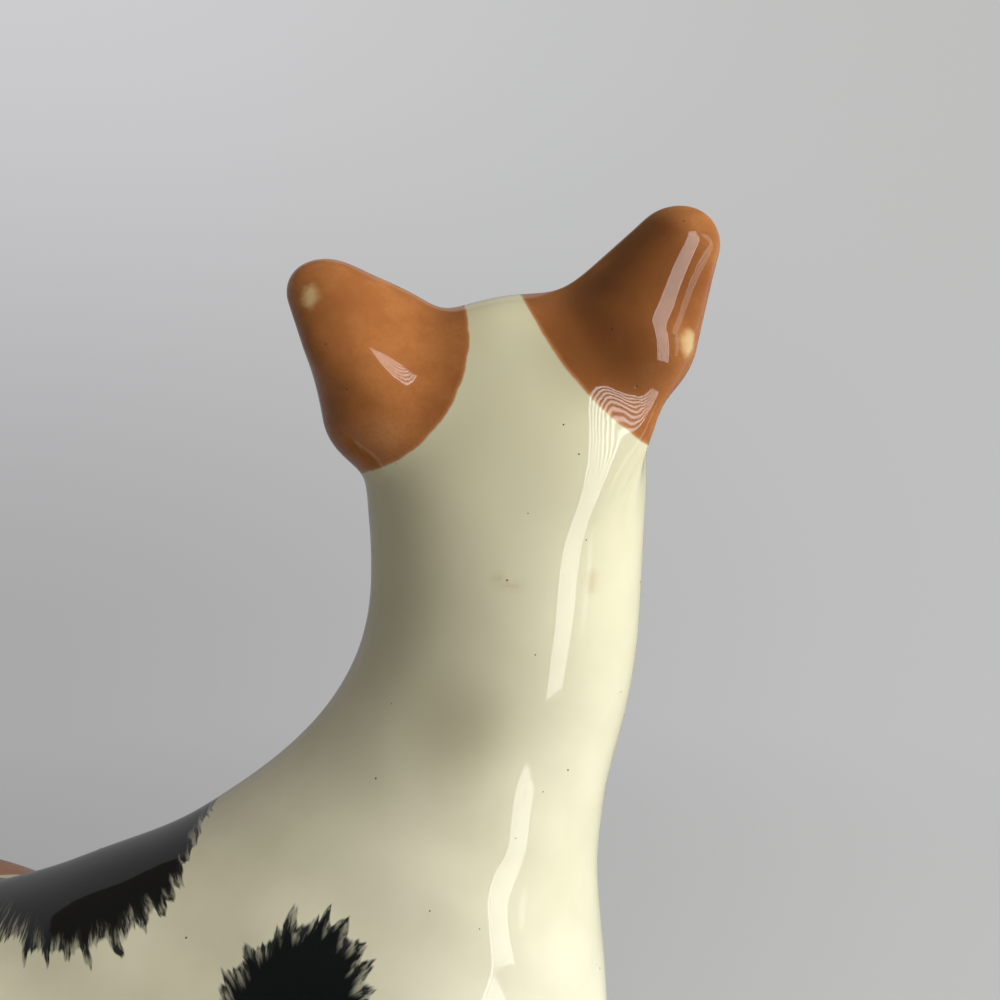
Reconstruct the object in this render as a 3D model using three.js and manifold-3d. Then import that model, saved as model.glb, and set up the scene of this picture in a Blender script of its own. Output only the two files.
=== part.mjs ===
// A dog lying with its head up, slip-cast in earthenware as separate pieces that are luted and glazed.
// Millimetres, +Z up, +X towards the chest, +Y towards the dog's left side. The head is turned to the
// dog's left and looks along +Y. Setbacks are measured from the neck's axis towards the rump, and the
// origin lies on the foot, below the shoulders.
import * as THREE from "three";
import { mergeVertices } from "three/addons/utils/BufferGeometryUtils.js";
import Module from "manifold-3d";

// Clay wall, foot and joints
const WALL = 4.5;
const FOOT_THICKNESS = 5;
const LUTE_GAP = 0.3;
const POUR_LENGTH = 54;
const POUR_WIDTH = 20;
const POUR_SETBACK = 62;
const ORIGIN_SETBACK = 18;

// Trunk: a tapered barrel from the ribs to the rump, with a chest in front and a flat belly below
const RIB_SETBACK = 30;
const RIB_HEIGHT = 41.2;
const RIB_RADIUS = 30;
const RUMP_SETBACK = 108;
const RUMP_HEIGHT = 28.8;
const RUMP_RADIUS = 25;
const CHEST_SETBACK = 13.3;
const CHEST_HEIGHT = 38;
const CHEST_LENGTH = 58.7;
const CHEST_WIDTH = 54;
const CHEST_DEPTH = 72;
const BELLY_LENGTH = 124;
const BELLY_WIDTH = 52;
const BELLY_DEPTH = 40;
const BELLY_HEIGHT = 11;
const TRUNK_SOFTNESS = 22;

// Haunches and shoulders on the trunk
const HAUNCH_SETBACK = 95;
const HAUNCH_SPREAD = 24;
const LEFT_HAUNCH_HEIGHT = 31.8;
const RIGHT_HAUNCH_HEIGHT = 27;
const HAUNCH_LENGTH = 64;
const HAUNCH_WIDTH = 34;
const HAUNCH_DEPTH = 54;
const HAUNCH_TILT = 18;
const HAUNCH_SOFTNESS = 18;
const SHOULDER_TOP_HEIGHT = 60;
const SHOULDER_TOP_SPREAD = 15;
const SHOULDER_TOP_RADIUS = 15;
const ELBOW_SETBACK = 17;
const ELBOW_SPREAD = 24;
const ELBOW_HEIGHT = 17;
const ELBOW_RADIUS = 12;
const SHOULDER_SOFTNESS = 16;

// Neck, with a crest that runs down to the withers
const NECK_ROOT_SETBACK = 8.9;
const NECK_ROOT_HEIGHT = 70;
const NECK_ROOT_RADIUS = 19.9;
const NECK_MID_HEIGHT = 99.7;
const NECK_TOP_HEIGHT = 120;
const NECK_TOP_OFFSET = -0.6;
const NECK_MID_RADIUS = 17.55;
const NECK_TOP_RADIUS = 17.9;
const NECK_INNER_SOFTNESS = 15.8;
const NECK_LEAN = 0.048;
const NECK_UPRIGHT_HEIGHT = 91;
const CREST_TOP_OFFSET = 0.9;
const CREST_TOP_HEIGHT = 86.3;
const CREST_TOP_RADIUS = 6;
const WITHERS_SETBACK = 45.2;
const WITHERS_HEIGHT = 51.1;
const WITHERS_RADIUS = 10.6;
const NECK_SOFTNESS = 30;
const NECK_SEAM_HEIGHT = 89;
const SEAM_OVERLAP = 9;

// Head, in its own frame: x to the dog's right, y forward, z up, origin in the middle of the skull
const SKULL_OFFSET = 2.85;
const SKULL_FORWARD = 3;
const SKULL_HEIGHT = 131;
const HEAD_ROLL = 8.5;
const HEAD_NOD = 4;
const SKULL_WIDTH = 36.8;
const SKULL_LENGTH = 43;
const SKULL_DEPTH = 39.7;
const MUZZLE_ROOT_FORWARD = 14;
const MUZZLE_ROOT_DROP = 5;
const MUZZLE_ROOT_RADIUS = 13;
const MUZZLE_REACH = 36;
const MUZZLE_DROP = 8.5;
const MUZZLE_RADIUS = 10;
const JAW_ROOT_RADIUS = 15.9;
const JAW_DROP = 14.5;
const JAW_REACH = 33;
const JAW_RADIUS = 7.5;
const CHEEK_SPREAD = 7.55;
const CHEEK_FORWARD = 8;
const CHEEK_DROP = 7;
const CHEEK_RADIUS = 6.7;
const THROAT_FORWARD = 25;
const THROAT_DROP = 31;
const THROAT_TURN = 26;
const THROAT_STEPS = 3;
const HEAD_SOFTNESS = 11;
const LIP_ROOT_SPREAD = 7;
const LIP_ROOT_FORWARD = 20;
const LIP_ROOT_DROP = 11.5;
const LIP_SPREAD = 4;
const LIP_REACH = 37.5;
const LIP_DROP = 12;
const LIP_RADIUS = 5.5;
const LIP_SOFTNESS = 5;
const NOSE_WIDTH = 12;
const NOSE_HEIGHT = 9;
const NOSE_DEPTH = 9;
const NOSE_SINK = 2.4;
const NOSE_RISE = 2.9;
const EYE_SPREAD = 10.3;
const EYE_FORWARD = 15.4;
const EYE_RISE = 3.8;
const EYE_RADIUS = 5.3;

// Ears: full leaves that lean outward and open to the sides, with lobes and a pad at their roots
const EAR_FORWARD = -1;
const EAR_THICKNESS = 16;
const EAR_SWING = 45;
const EAR_SOFTNESS = 14;
const EAR_PAD_SPREAD = 10;
const EAR_PAD_FORWARD = -7;
const EAR_PAD_RISE = 4;
const EAR_PAD_SIZE = 20;
const EAR_HOLLOW_FORWARD = 10;
const EAR_HOLLOW_RISE = 6;
const EAR_HOLLOW_WIDTH = 13;
const EAR_HOLLOW_DEPTH = 15;
const EAR_HOLLOW_LENGTH = 30;
const EAR_HOLLOW_SOFTNESS = 5;
const EAR_LOBE_SOFTNESS = 4;
const EAR_FILLET = 12;
const EAR_FILLET_REACH = 3;
const EAR_SPINE_SHARES = [-0.08, 0.14, 0.36];
const LEFT_EAR_SPREAD = 14.7;
const LEFT_EAR_RISE = 8.4;
const LEFT_EAR_LEAN = 35.3;
const LEFT_EAR_WIDTH = 23.2;
const LEFT_EAR_LENGTH = 52.7;
const LEFT_LOBE_SPREAD = 22.3;
const LEFT_LOBE_RISE = 5.6;
const LEFT_LOBE_SIZE = 11.8;
const RIGHT_EAR_SPREAD = 19.6;
const RIGHT_EAR_RISE = 14;
const RIGHT_EAR_LEAN = 41.1;
const RIGHT_EAR_WIDTH = 20.1;
const RIGHT_EAR_LENGTH = 40.2;
const RIGHT_ROOT_SPREAD = 4.6;
const RIGHT_ROOT_RISE = 9.4;
const RIGHT_ROOT_SIZE = 13.5;
const RIGHT_LOBE_SPREAD = 22.9;
const RIGHT_LOBE_RISE = 11.4;
const RIGHT_LOBE_SIZE = 14.5;

// Forelegs, stretched forward along the ground
const FOREPAW_REACH = 50;
const FOREPAW_SPREAD = 17;
const FOREPAW_LENGTH = 27;
const FOREPAW_WIDTH = 20;
const FOREPAW_HEIGHT = 16;
const WRIST_REACH = 35;
const WRIST_RADIUS = 8.5;

// Hind feet, beside the haunches
const HIND_FOOT_SPREAD = 36;
const HEEL_SETBACK = 104;
const HEEL_RADIUS = 8;
const HIND_PAW_SETBACK = 68;
const HIND_PAW_LENGTH = 24;
const HIND_PAW_WIDTH = 18;
const HIND_PAW_HEIGHT = 15;
const INSTEP_SHARE = 0.6;

// Soles and toes of all four feet
const SOLE_CUT = 1.2;
const LEG_SOFTNESS = 9;
const TOE_COUNT = 4;
const TOE_LENGTH = 12;
const TOE_DROP = 1;
const TOE_PROUD = 1;
const TOE_FULLNESS = 1.25;
const TOE_SWEEP = 0.35;

// Tail, laid round the left haunch and against the hind foot
const TAIL_ROOT_HEIGHT = 17;
const TAIL_ROOT_RADIUS = 8;
const TAIL_TIP_RADIUS = 4;
const TAIL_LOOP_LENGTH = 42;
const TAIL_LOOP_WIDTH = 51;
const TAIL_START_ANGLE = 150;
const TAIL_END_ANGLE = 72;
const TAIL_TAPER = 1.5;
const TAIL_JOINTS = 14;

// Facets of the skins
const BODY_LOFT = { stations: 24, sides: 36, capRings: 6 };
const HEAD_LOFT = { stations: 24, sides: 36, capRings: 4 };
const CAVITY_LOFT = { stations: 12, sides: 16, capRings: 2 };
const EAR_LOFT = { stations: 12, sides: 28, capRings: 5 };
const LEG_LOFT = { stations: 12, sides: 16, capRings: 3 };
const TAIL_LOFT = { stations: 20, sides: 12, capRings: 2 };
const POUR_SEGMENTS = 14;
const BEAD_SIDES = 12;
const TOE_SIDES = 8;
const MARCH_STEPS = 80;
const MARCH_SHARE = 0.9;
const MARCH_TOLERANCE = 0.004;
const MERGE_TOLERANCE = 1e-4;
const BLOCK = 600;

const wasm = await Module();
wasm.setup();

const point = (x, y, z) => new THREE.Vector3(x, y, z);
const degrees = THREE.MathUtils.degToRad;
const { clamp, lerp, smoothstep } = THREE.MathUtils;

// Forms: each takes a place and gives roughly its distance from a surface, negative inside
function limb(from, to, fromRadius, toRadius) {
  const run = to.clone().sub(from);
  const offset = new THREE.Vector3();
  return (place) => {
    offset.copy(place).sub(from);
    const share = clamp(offset.dot(run) / run.lengthSq(), 0, 1);
    const radius = lerp(fromRadius, toRadius, smoothstep(share, 0, 1));
    return offset.addScaledVector(run, -share).length() - radius;
  };
}

function lump(centre, size, turn = new THREE.Quaternion()) {
  const radii = size.clone().multiplyScalar(0.5);
  const turnBack = turn.clone().invert();
  const offset = new THREE.Vector3();
  return (place) => {
    offset.copy(place).sub(centre).applyQuaternion(turnBack).divide(radii);
    const reach = offset.length();
    const slope = offset.divide(radii).length();
    return slope > 0 ? (reach * (reach - 1)) / slope : -Math.min(radii.x, radii.y, radii.z);
  };
}

function meet(a, b, softness) {
  const overlap = Math.max(softness - Math.abs(a - b), 0) / softness;
  return Math.min(a, b) - (overlap ** 3 * softness) / 6;
}

function blend(softness, ...forms) {
  return (place) => forms.reduce((nearest, form) => meet(nearest, form(place), softness), Infinity);
}

function carve(softness, form, tool) {
  return (place) => -meet(-form(place), tool(place), softness);
}

// The skin of a form: from points along a spine, rays go out square to it until they meet the surface.
// A round end is closed by rays that swing over until they point along the spine. A level above zero
// gives a skin that stands off the surface, and one below zero gives the inside of a wall.
function skin(form, spine, sideways, loft, ends, level = 0) {
  const { stations, sides, capRings } = loft;
  const { roundStart = 0, roundEnd = 0 } = ends;
  const tangent = new THREE.Vector3();
  const upward = new THREE.Vector3();
  const side = new THREE.Vector3();
  const ray = new THREE.Vector3();
  const vertices = [];

  const march = (origin) => {
    const place = origin.clone();
    for (let step = 0; step < MARCH_STEPS; step += 1) {
      const clearance = level - form(place);
      place.addScaledVector(ray, clearance * MARCH_SHARE);
      if (Math.abs(clearance) < MARCH_TOLERANCE) break;
    }
    vertices.push(place.x, place.y, place.z);
  };
  const ring = (share, swing) => {
    const origin = spine.getPointAt(share);
    tangent.copy(spine.getTangentAt(share));
    upward.copy(tangent).cross(sideways).normalize();
    side.copy(upward).cross(tangent);
    for (let index = 0; index < sides; index += 1) {
      const angle = (index / sides) * 2 * Math.PI;
      ray.copy(side).multiplyScalar(Math.cos(angle)).addScaledVector(upward, Math.sin(angle));
      ray.multiplyScalar(Math.cos(swing)).addScaledVector(tangent, Math.sin(swing));
      march(origin);
    }
  };
  const pole = (share, heading) => {
    const origin = spine.getPointAt(share);
    ray.copy(spine.getTangentAt(share)).multiplyScalar(heading);
    if (heading === 0) vertices.push(origin.x, origin.y, origin.z);
    else march(origin);
  };

  const swingStep = Math.PI / 2 / (capRings + 1);
  pole(0, -roundStart);
  for (let index = roundStart * capRings; index > 0; index -= 1) ring(0, -index * swingStep);
  for (let index = 0; index <= stations; index += 1) ring(index / stations, 0);
  for (let index = 1; index <= roundEnd * capRings; index += 1) ring(1, index * swingStep);
  pole(1, roundEnd);

  const last = vertices.length / 3 - 1;
  const rings = (last - 1) / sides;
  const triangles = [];
  const at = (row, index) => 1 + row * sides + (index % sides);
  for (let index = 0; index < sides; index += 1) {
    triangles.push(0, at(0, index + 1), at(0, index));
    for (let row = 0; row + 1 < rings; row += 1) {
      triangles.push(at(row, index), at(row, index + 1), at(row + 1, index + 1));
      triangles.push(at(row, index), at(row + 1, index + 1), at(row + 1, index));
    }
    triangles.push(last, at(rings - 1, index), at(rings - 1, index + 1));
  }
  const geometry = new THREE.BufferGeometry();
  geometry.setAttribute("position", new THREE.Float32BufferAttribute(vertices, 3));
  geometry.setIndex(triangles);
  return solidOf(geometry);
}

// Between three.js geometry and solids that can be joined and cut
function solidOf(geometry) {
  const bare = geometry.clone();
  bare.deleteAttribute("normal");
  bare.deleteAttribute("uv");
  const merged = mergeVertices(bare, MERGE_TOLERANCE);
  const vertProperties = new Float32Array(merged.attributes.position.array);
  const triVerts = new Uint32Array(merged.index.array);
  return new wasm.Manifold(new wasm.Mesh({ numProp: 3, vertProperties, triVerts }));
}

function geometryOf(solid) {
  const { vertProperties, triVerts } = solid.getMesh();
  const geometry = new THREE.BufferGeometry();
  geometry.setAttribute("position", new THREE.BufferAttribute(new Float32Array(vertProperties), 3));
  geometry.setIndex(new THREE.BufferAttribute(new Uint32Array(triVerts), 1));
  const flat = geometry.toNonIndexed();
  flat.computeVertexNormals();
  return flat;
}

function bead(centre, size, turn, sides) {
  const geometry = new THREE.SphereGeometry(0.5, sides, sides / 2);
  geometry.applyMatrix4(new THREE.Matrix4().compose(centre, turn, size));
  return solidOf(geometry);
}

const block = (middle) => solidOf(new THREE.BoxGeometry(BLOCK, BLOCK, BLOCK).translate(0, 0, middle));
const above = (level) => block(level + BLOCK / 2);
const below = (level) => block(level - BLOCK / 2);

// Trunk, haunches, shoulders and neck
const upright = new THREE.Quaternion();
const leftward = point(0, 1, 0);
const skyward = point(0, 0, 1);
const rump = point(-RUMP_SETBACK, 0, RUMP_HEIGHT);
const ribs = point(-RIB_SETBACK, 0, RIB_HEIGHT);
const chest = point(-CHEST_SETBACK, 0, CHEST_HEIGHT);
const belly = point((-RUMP_SETBACK - CHEST_SETBACK) / 2, 0, BELLY_HEIGHT);
const onNeck = (x, height) => point(x, (height - NECK_UPRIGHT_HEIGHT) * NECK_LEAN, height);
const neckRoot = onNeck(-NECK_ROOT_SETBACK, NECK_ROOT_HEIGHT);
const neckMiddle = onNeck(0, NECK_MID_HEIGHT);
const neckTop = onNeck(NECK_TOP_OFFSET, NECK_TOP_HEIGHT);
const elbow = (hand) => point(-ELBOW_SETBACK, hand * ELBOW_SPREAD, ELBOW_HEIGHT);
const haunchTurn = new THREE.Quaternion().setFromAxisAngle(leftward, degrees(HAUNCH_TILT));

const trunkForm = blend(
  TRUNK_SOFTNESS,
  limb(rump, ribs, RUMP_RADIUS, RIB_RADIUS),
  lump(chest, point(CHEST_LENGTH, CHEST_WIDTH, CHEST_DEPTH)),
  lump(belly, point(BELLY_LENGTH, BELLY_WIDTH, BELLY_DEPTH)),
);
const haunchForm = (hand, height) => lump(
  point(-HAUNCH_SETBACK, hand * HAUNCH_SPREAD, height),
  point(HAUNCH_LENGTH, HAUNCH_WIDTH, HAUNCH_DEPTH),
  haunchTurn,
);
const shoulderForm = (hand) => limb(
  point(-CHEST_SETBACK, hand * SHOULDER_TOP_SPREAD, SHOULDER_TOP_HEIGHT),
  elbow(hand),
  SHOULDER_TOP_RADIUS,
  ELBOW_RADIUS,
);
const neckForm = blend(
  NECK_INNER_SOFTNESS,
  limb(neckRoot, neckMiddle, NECK_ROOT_RADIUS, NECK_MID_RADIUS),
  limb(neckMiddle, neckTop, NECK_MID_RADIUS, NECK_TOP_RADIUS),
);
const crestForm = limb(
  point(CREST_TOP_OFFSET, 0, CREST_TOP_HEIGHT),
  point(-WITHERS_SETBACK, 0, WITHERS_HEIGHT),
  CREST_TOP_RADIUS,
  WITHERS_RADIUS,
);

// Head
const headCentre = point(SKULL_OFFSET, SKULL_FORWARD, SKULL_HEIGHT);
const headTurn = new THREE.Quaternion().setFromEuler(
  new THREE.Euler(degrees(-HEAD_NOD), degrees(-HEAD_ROLL), 0, "YXZ"),
);
const onHead = (x, y, z) => point(x, y, z).applyQuaternion(headTurn).add(headCentre);
const rightOfHead = point(1, 0, 0).applyQuaternion(headTurn);
const cheek = (hand) => onHead(hand * CHEEK_SPREAD, CHEEK_FORWARD, -CHEEK_DROP);
const lip = (hand) => limb(
  onHead(hand * LIP_ROOT_SPREAD, LIP_ROOT_FORWARD, -LIP_ROOT_DROP),
  onHead(hand * LIP_SPREAD, LIP_REACH, -LIP_DROP),
  LIP_RADIUS,
  LIP_RADIUS,
);
const headForm = blend(
  HEAD_SOFTNESS,
  lump(headCentre, point(SKULL_WIDTH, SKULL_LENGTH, SKULL_DEPTH), headTurn),
  limb(
    onHead(0, MUZZLE_ROOT_FORWARD, -MUZZLE_ROOT_DROP),
    onHead(0, MUZZLE_REACH, -MUZZLE_DROP),
    MUZZLE_ROOT_RADIUS,
    MUZZLE_RADIUS,
  ),
  limb(onHead(0, 0, -JAW_DROP), onHead(0, JAW_REACH, -JAW_DROP), JAW_ROOT_RADIUS, JAW_RADIUS),
  limb(cheek(-1), cheek(1), CHEEK_RADIUS, CHEEK_RADIUS),
);

// The whole figure without its luted pieces
const torsoForm = blend(NECK_SOFTNESS, trunkForm, neckForm, crestForm);
const headedForm = blend(HEAD_SOFTNESS, torsoForm, headForm);
const facedForm = blend(LIP_SOFTNESS, headedForm, lip(-1), lip(1));
const hippedForm = blend(
  HAUNCH_SOFTNESS,
  facedForm,
  haunchForm(1, LEFT_HAUNCH_HEIGHT),
  haunchForm(-1, RIGHT_HAUNCH_HEIGHT),
);
const dogForm = blend(SHOULDER_SOFTNESS, hippedForm, shoulderForm(1), shoulderForm(-1));

// Body and head castings: one figure parted at the neck seam, each with an even wall
const bodySpine = new THREE.CatmullRomCurve3([
  rump,
  rump.clone().lerp(ribs, 0.5),
  ribs,
  neckRoot,
  point(0, 0, NECK_SEAM_HEIGHT + SEAM_OVERLAP),
]);
const neckStart = point(0, 0, NECK_SEAM_HEIGHT - SEAM_OVERLAP);
const roundThroat = Array.from({ length: THROAT_STEPS }, (unused, index) => {
  const angle = degrees(90) * (index + 1) / THROAT_STEPS;
  const forward = THROAT_FORWARD - THROAT_TURN * Math.cos(angle);
  return onHead(0, forward, THROAT_TURN * Math.sin(angle) - THROAT_DROP);
});
const headSpine = new THREE.CatmullRomCurve3([
  neckStart,
  neckStart.clone().lerp(roundThroat[0], 0.5),
  ...roundThroat,
  onHead(0, MUZZLE_REACH, -MUZZLE_DROP),
]);
const bodySkin = (loft, level) => skin(dogForm, bodySpine, leftward, loft, { roundStart: 1 }, level);
const headSkin = (loft, level) => skin(dogForm, headSpine, rightOfHead, loft, { roundEnd: 1 }, level);
const bodyRelief = bodySkin(BODY_LOFT, LUTE_GAP);
const headRelief = headSkin(HEAD_LOFT, LUTE_GAP);

const pourOutline = new THREE.Shape();
pourOutline.absellipse(0, 0, POUR_LENGTH / 2, POUR_WIDTH / 2, 0, 2 * Math.PI);
const pourOpening = new THREE.ExtrudeGeometry(pourOutline, {
  depth: FOOT_THICKNESS * 3,
  bevelEnabled: false,
  curveSegments: POUR_SEGMENTS,
});
pourOpening.translate(-POUR_SETBACK, 0, -FOOT_THICKNESS);

const bodyCavity = bodySkin(CAVITY_LOFT, -WALL).subtract(below(FOOT_THICKNESS));
const bodyShell = bodySkin(BODY_LOFT, 0)
  .subtract(below(0))
  .subtract(above(NECK_SEAM_HEIGHT - LUTE_GAP / 2))
  .subtract(bodyCavity)
  .subtract(solidOf(pourOpening));

const nose = bead(
  onHead(0, MUZZLE_REACH + MUZZLE_RADIUS - NOSE_SINK, NOSE_RISE - MUZZLE_DROP),
  point(NOSE_WIDTH, NOSE_DEPTH, NOSE_HEIGHT),
  headTurn,
  BEAD_SIDES,
);
const eye = (hand) => bead(
  onHead(hand * EYE_SPREAD, EYE_FORWARD, EYE_RISE),
  point(2, 2, 2).multiplyScalar(EYE_RADIUS),
  headTurn,
  BEAD_SIDES,
);
const headShell = headSkin(HEAD_LOFT, 0)
  .add(nose)
  .add(eye(1))
  .add(eye(-1))
  .subtract(below(NECK_SEAM_HEIGHT + LUTE_GAP / 2))
  .subtract(headSkin(CAVITY_LOFT, -WALL));

// Ears: a leaf with soft lobes runs into the head by a fillet, which ends a little way from the leaf.
// The head's own skin is cut away, and the largest piece that is left is the ear.
const earLobe = (x, rise, size) => lump(
  onHead(x, EAR_FORWARD, rise),
  point(1, 1, 1).multiplyScalar(size),
);

function earOf(hand, heart, lean, width, length, filled) {
  const turn = headTurn.clone()
    .multiply(new THREE.Quaternion().setFromAxisAngle(leftward, degrees(hand * lean)))
    .multiply(new THREE.Quaternion().setFromAxisAngle(skyward, degrees(-hand * EAR_SWING)));
  const onEar = (forward, rise) => point(0, forward, rise).applyQuaternion(turn).add(heart);
  const leaf = lump(heart, point(width, EAR_THICKNESS, length), turn);
  const pad = lump(
    onHead(hand * EAR_PAD_SPREAD, EAR_PAD_FORWARD, EAR_PAD_RISE),
    point(1, 1, 1).multiplyScalar(EAR_PAD_SIZE),
  );
  const hollow = lump(
    onEar(EAR_HOLLOW_FORWARD, EAR_HOLLOW_RISE),
    point(EAR_HOLLOW_WIDTH, EAR_HOLLOW_DEPTH, EAR_HOLLOW_LENGTH),
    turn,
  );
  const full = filled(leaf);
  const joined = blend(EAR_FILLET, dogForm, filled(blend(EAR_SOFTNESS, leaf, pad)));
  const filleted = (place) => Math.max(joined(place), full(place) - EAR_FILLET_REACH);
  const form = carve(EAR_HOLLOW_SOFTNESS, filleted, hollow);
  const spine = new THREE.CatmullRomCurve3(EAR_SPINE_SHARES.map((share) => onEar(0, share * length)));
  const across = point(1, 0, 0).applyQuaternion(turn);
  const pieces = skin(form, spine, across, EAR_LOFT, { roundStart: 1, roundEnd: 1 })
    .subtract(headRelief)
    .decompose();
  return pieces.reduce((ear, piece) => (piece.volume() > ear.volume() ? piece : ear));
}

function leftEar() {
  const heart = onHead(-LEFT_EAR_SPREAD, EAR_FORWARD, LEFT_EAR_RISE);
  const lobe = earLobe(-LEFT_LOBE_SPREAD, LEFT_LOBE_RISE, LEFT_LOBE_SIZE);
  const filled = (leaf) => blend(EAR_SOFTNESS, leaf, lobe);
  return earOf(-1, heart, LEFT_EAR_LEAN, LEFT_EAR_WIDTH, LEFT_EAR_LENGTH, filled);
}

function rightEar() {
  const heart = onHead(RIGHT_EAR_SPREAD, EAR_FORWARD, RIGHT_EAR_RISE);
  const root = earLobe(RIGHT_ROOT_SPREAD, RIGHT_ROOT_RISE, RIGHT_ROOT_SIZE);
  const lobe = earLobe(RIGHT_LOBE_SPREAD, RIGHT_LOBE_RISE, RIGHT_LOBE_SIZE);
  const filled = (leaf) => blend(EAR_LOBE_SOFTNESS, blend(EAR_SOFTNESS, leaf, root), lobe);
  return earOf(1, heart, RIGHT_EAR_LEAN, RIGHT_EAR_WIDTH, RIGHT_EAR_LENGTH, filled);
}

// Legs: bones that end in a paw with a fan of toes and a flat sole
function toesOf(paw, size) {
  const pitch = size.y / TOE_COUNT;
  const toeSize = point(TOE_LENGTH, pitch * TOE_FULLNESS, size.z - 2 * TOE_DROP);
  return Array.from({ length: TOE_COUNT }, (unused, index) => {
    const across = (index - (TOE_COUNT - 1) / 2) * pitch;
    const forward = (size.x - TOE_LENGTH) / 2 + TOE_PROUD - TOE_SWEEP * Math.abs(across);
    return bead(paw.clone().add(point(forward, across, -TOE_DROP)), toeSize, upright, TOE_SIDES);
  });
}

function legOf(path, radii, paw, size, level) {
  const bones = path.slice(1).map((to, index) => limb(path[index], to, radii[index], radii[index + 1]));
  const form = blend(LEG_SOFTNESS, ...bones, lump(paw, size));
  const spine = new THREE.CatmullRomCurve3([...path, paw.clone().add(point(size.x / 4, 0, 0))]);
  const leg = skin(form, spine, leftward, LEG_LOFT, { roundStart: 1, roundEnd: 1 }, level);
  return toesOf(paw, size)
    .reduce((whole, toe) => whole.add(toe), leg)
    .subtract(bodyRelief)
    .subtract(below(0));
}

function forelegOf(hand) {
  const side = hand * FOREPAW_SPREAD;
  const wrist = point(WRIST_REACH, side, WRIST_RADIUS - SOLE_CUT);
  const paw = point(FOREPAW_REACH, side, FOREPAW_HEIGHT / 2 - SOLE_CUT);
  const size = point(FOREPAW_LENGTH, FOREPAW_WIDTH, FOREPAW_HEIGHT);
  return legOf([elbow(hand), wrist], [ELBOW_RADIUS, WRIST_RADIUS], paw, size, 0);
}

function hindFootOf(hand, level) {
  const side = hand * HIND_FOOT_SPREAD;
  const heel = point(-HEEL_SETBACK, side, HEEL_RADIUS - SOLE_CUT);
  const paw = point(-HIND_PAW_SETBACK, side, HIND_PAW_HEIGHT / 2 - SOLE_CUT);
  const size = point(HIND_PAW_LENGTH, HIND_PAW_WIDTH, HIND_PAW_HEIGHT);
  const instep = heel.clone().lerp(paw, INSTEP_SHARE);
  return legOf([heel, instep], [HEEL_RADIUS, HEEL_RADIUS], paw, size, level);
}

// Tail
function tailOf() {
  const tipHeight = TAIL_TIP_RADIUS - SOLE_CUT;
  const loop = (angle) => point(
    TAIL_LOOP_LENGTH * Math.cos(degrees(angle)) - HAUNCH_SETBACK,
    TAIL_LOOP_WIDTH * Math.sin(degrees(angle)),
    lerp(tipHeight, TAIL_ROOT_HEIGHT, (angle - TAIL_END_ANGLE) / (180 - TAIL_END_ANGLE)),
  );
  const middleAngle = (180 + TAIL_END_ANGLE) / 2;
  const path = new THREE.CatmullRomCurve3([
    point(-RUMP_SETBACK - RUMP_RADIUS / 2, 0, TAIL_ROOT_HEIGHT),
    ...[TAIL_START_ANGLE, middleAngle, (middleAngle + TAIL_END_ANGLE) / 2, TAIL_END_ANGLE].map(loop),
  ]);
  const joints = path.getSpacedPoints(TAIL_JOINTS);
  const radius = (index) => lerp(TAIL_ROOT_RADIUS, TAIL_TIP_RADIUS, (index / TAIL_JOINTS) ** TAIL_TAPER);
  const bones = joints.slice(1).map(
    (to, index) => limb(joints[index], to, radius(index), radius(index + 1)),
  );
  const form = blend(TAIL_TIP_RADIUS / 2, ...bones);
  return skin(form, path, skyward, TAIL_LOFT, { roundStart: 1, roundEnd: 1 })
    .subtract(bodyRelief)
    .subtract(hindFootOf(1, LUTE_GAP))
    .subtract(below(0));
}

// The assembly
const creamGlaze = { color: 0xe8e2c8, roughness: 0.15, metalness: 0 };
const tanGlaze = { color: 0x9a6233, roughness: 0.15, metalness: 0 };
const figurine = new THREE.Group();
figurine.name = "dog_figurine";
figurine.position.x = ORIGIN_SETBACK;

function place(name, solid, glaze) {
  const mesh = new THREE.Mesh(geometryOf(solid), new THREE.MeshStandardMaterial(glaze));
  mesh.name = name;
  figurine.add(mesh);
}

place("body_shell", bodyShell, creamGlaze);
place("head_shell", headShell, creamGlaze);
place("left_ear", leftEar(), tanGlaze);
place("right_ear", rightEar(), tanGlaze);
place("left_foreleg", forelegOf(1), creamGlaze);
place("right_foreleg", forelegOf(-1), creamGlaze);
place("left_hind_foot", hindFootOf(1, 0), creamGlaze);
place("right_hind_foot", hindFootOf(-1, 0), creamGlaze);
place("tail", tailOf(), tanGlaze);

export default figurine;
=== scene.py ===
"""A glazed earthenware dog that lies with its head up and turned to its left, on a plain studio floor.

The figure is one smooth form, as it is after firing, and it is parted along the seams where its castings
were joined. Its sizes are in millimetres in its own frame: x from the neck's axis towards the chest, y to
the dog's left, z up from the foot. The meshes are in metres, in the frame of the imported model.
"""

import logging
import math
from dataclasses import dataclass, field
from enum import Enum
from typing import Callable, Iterable, Sequence

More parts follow.
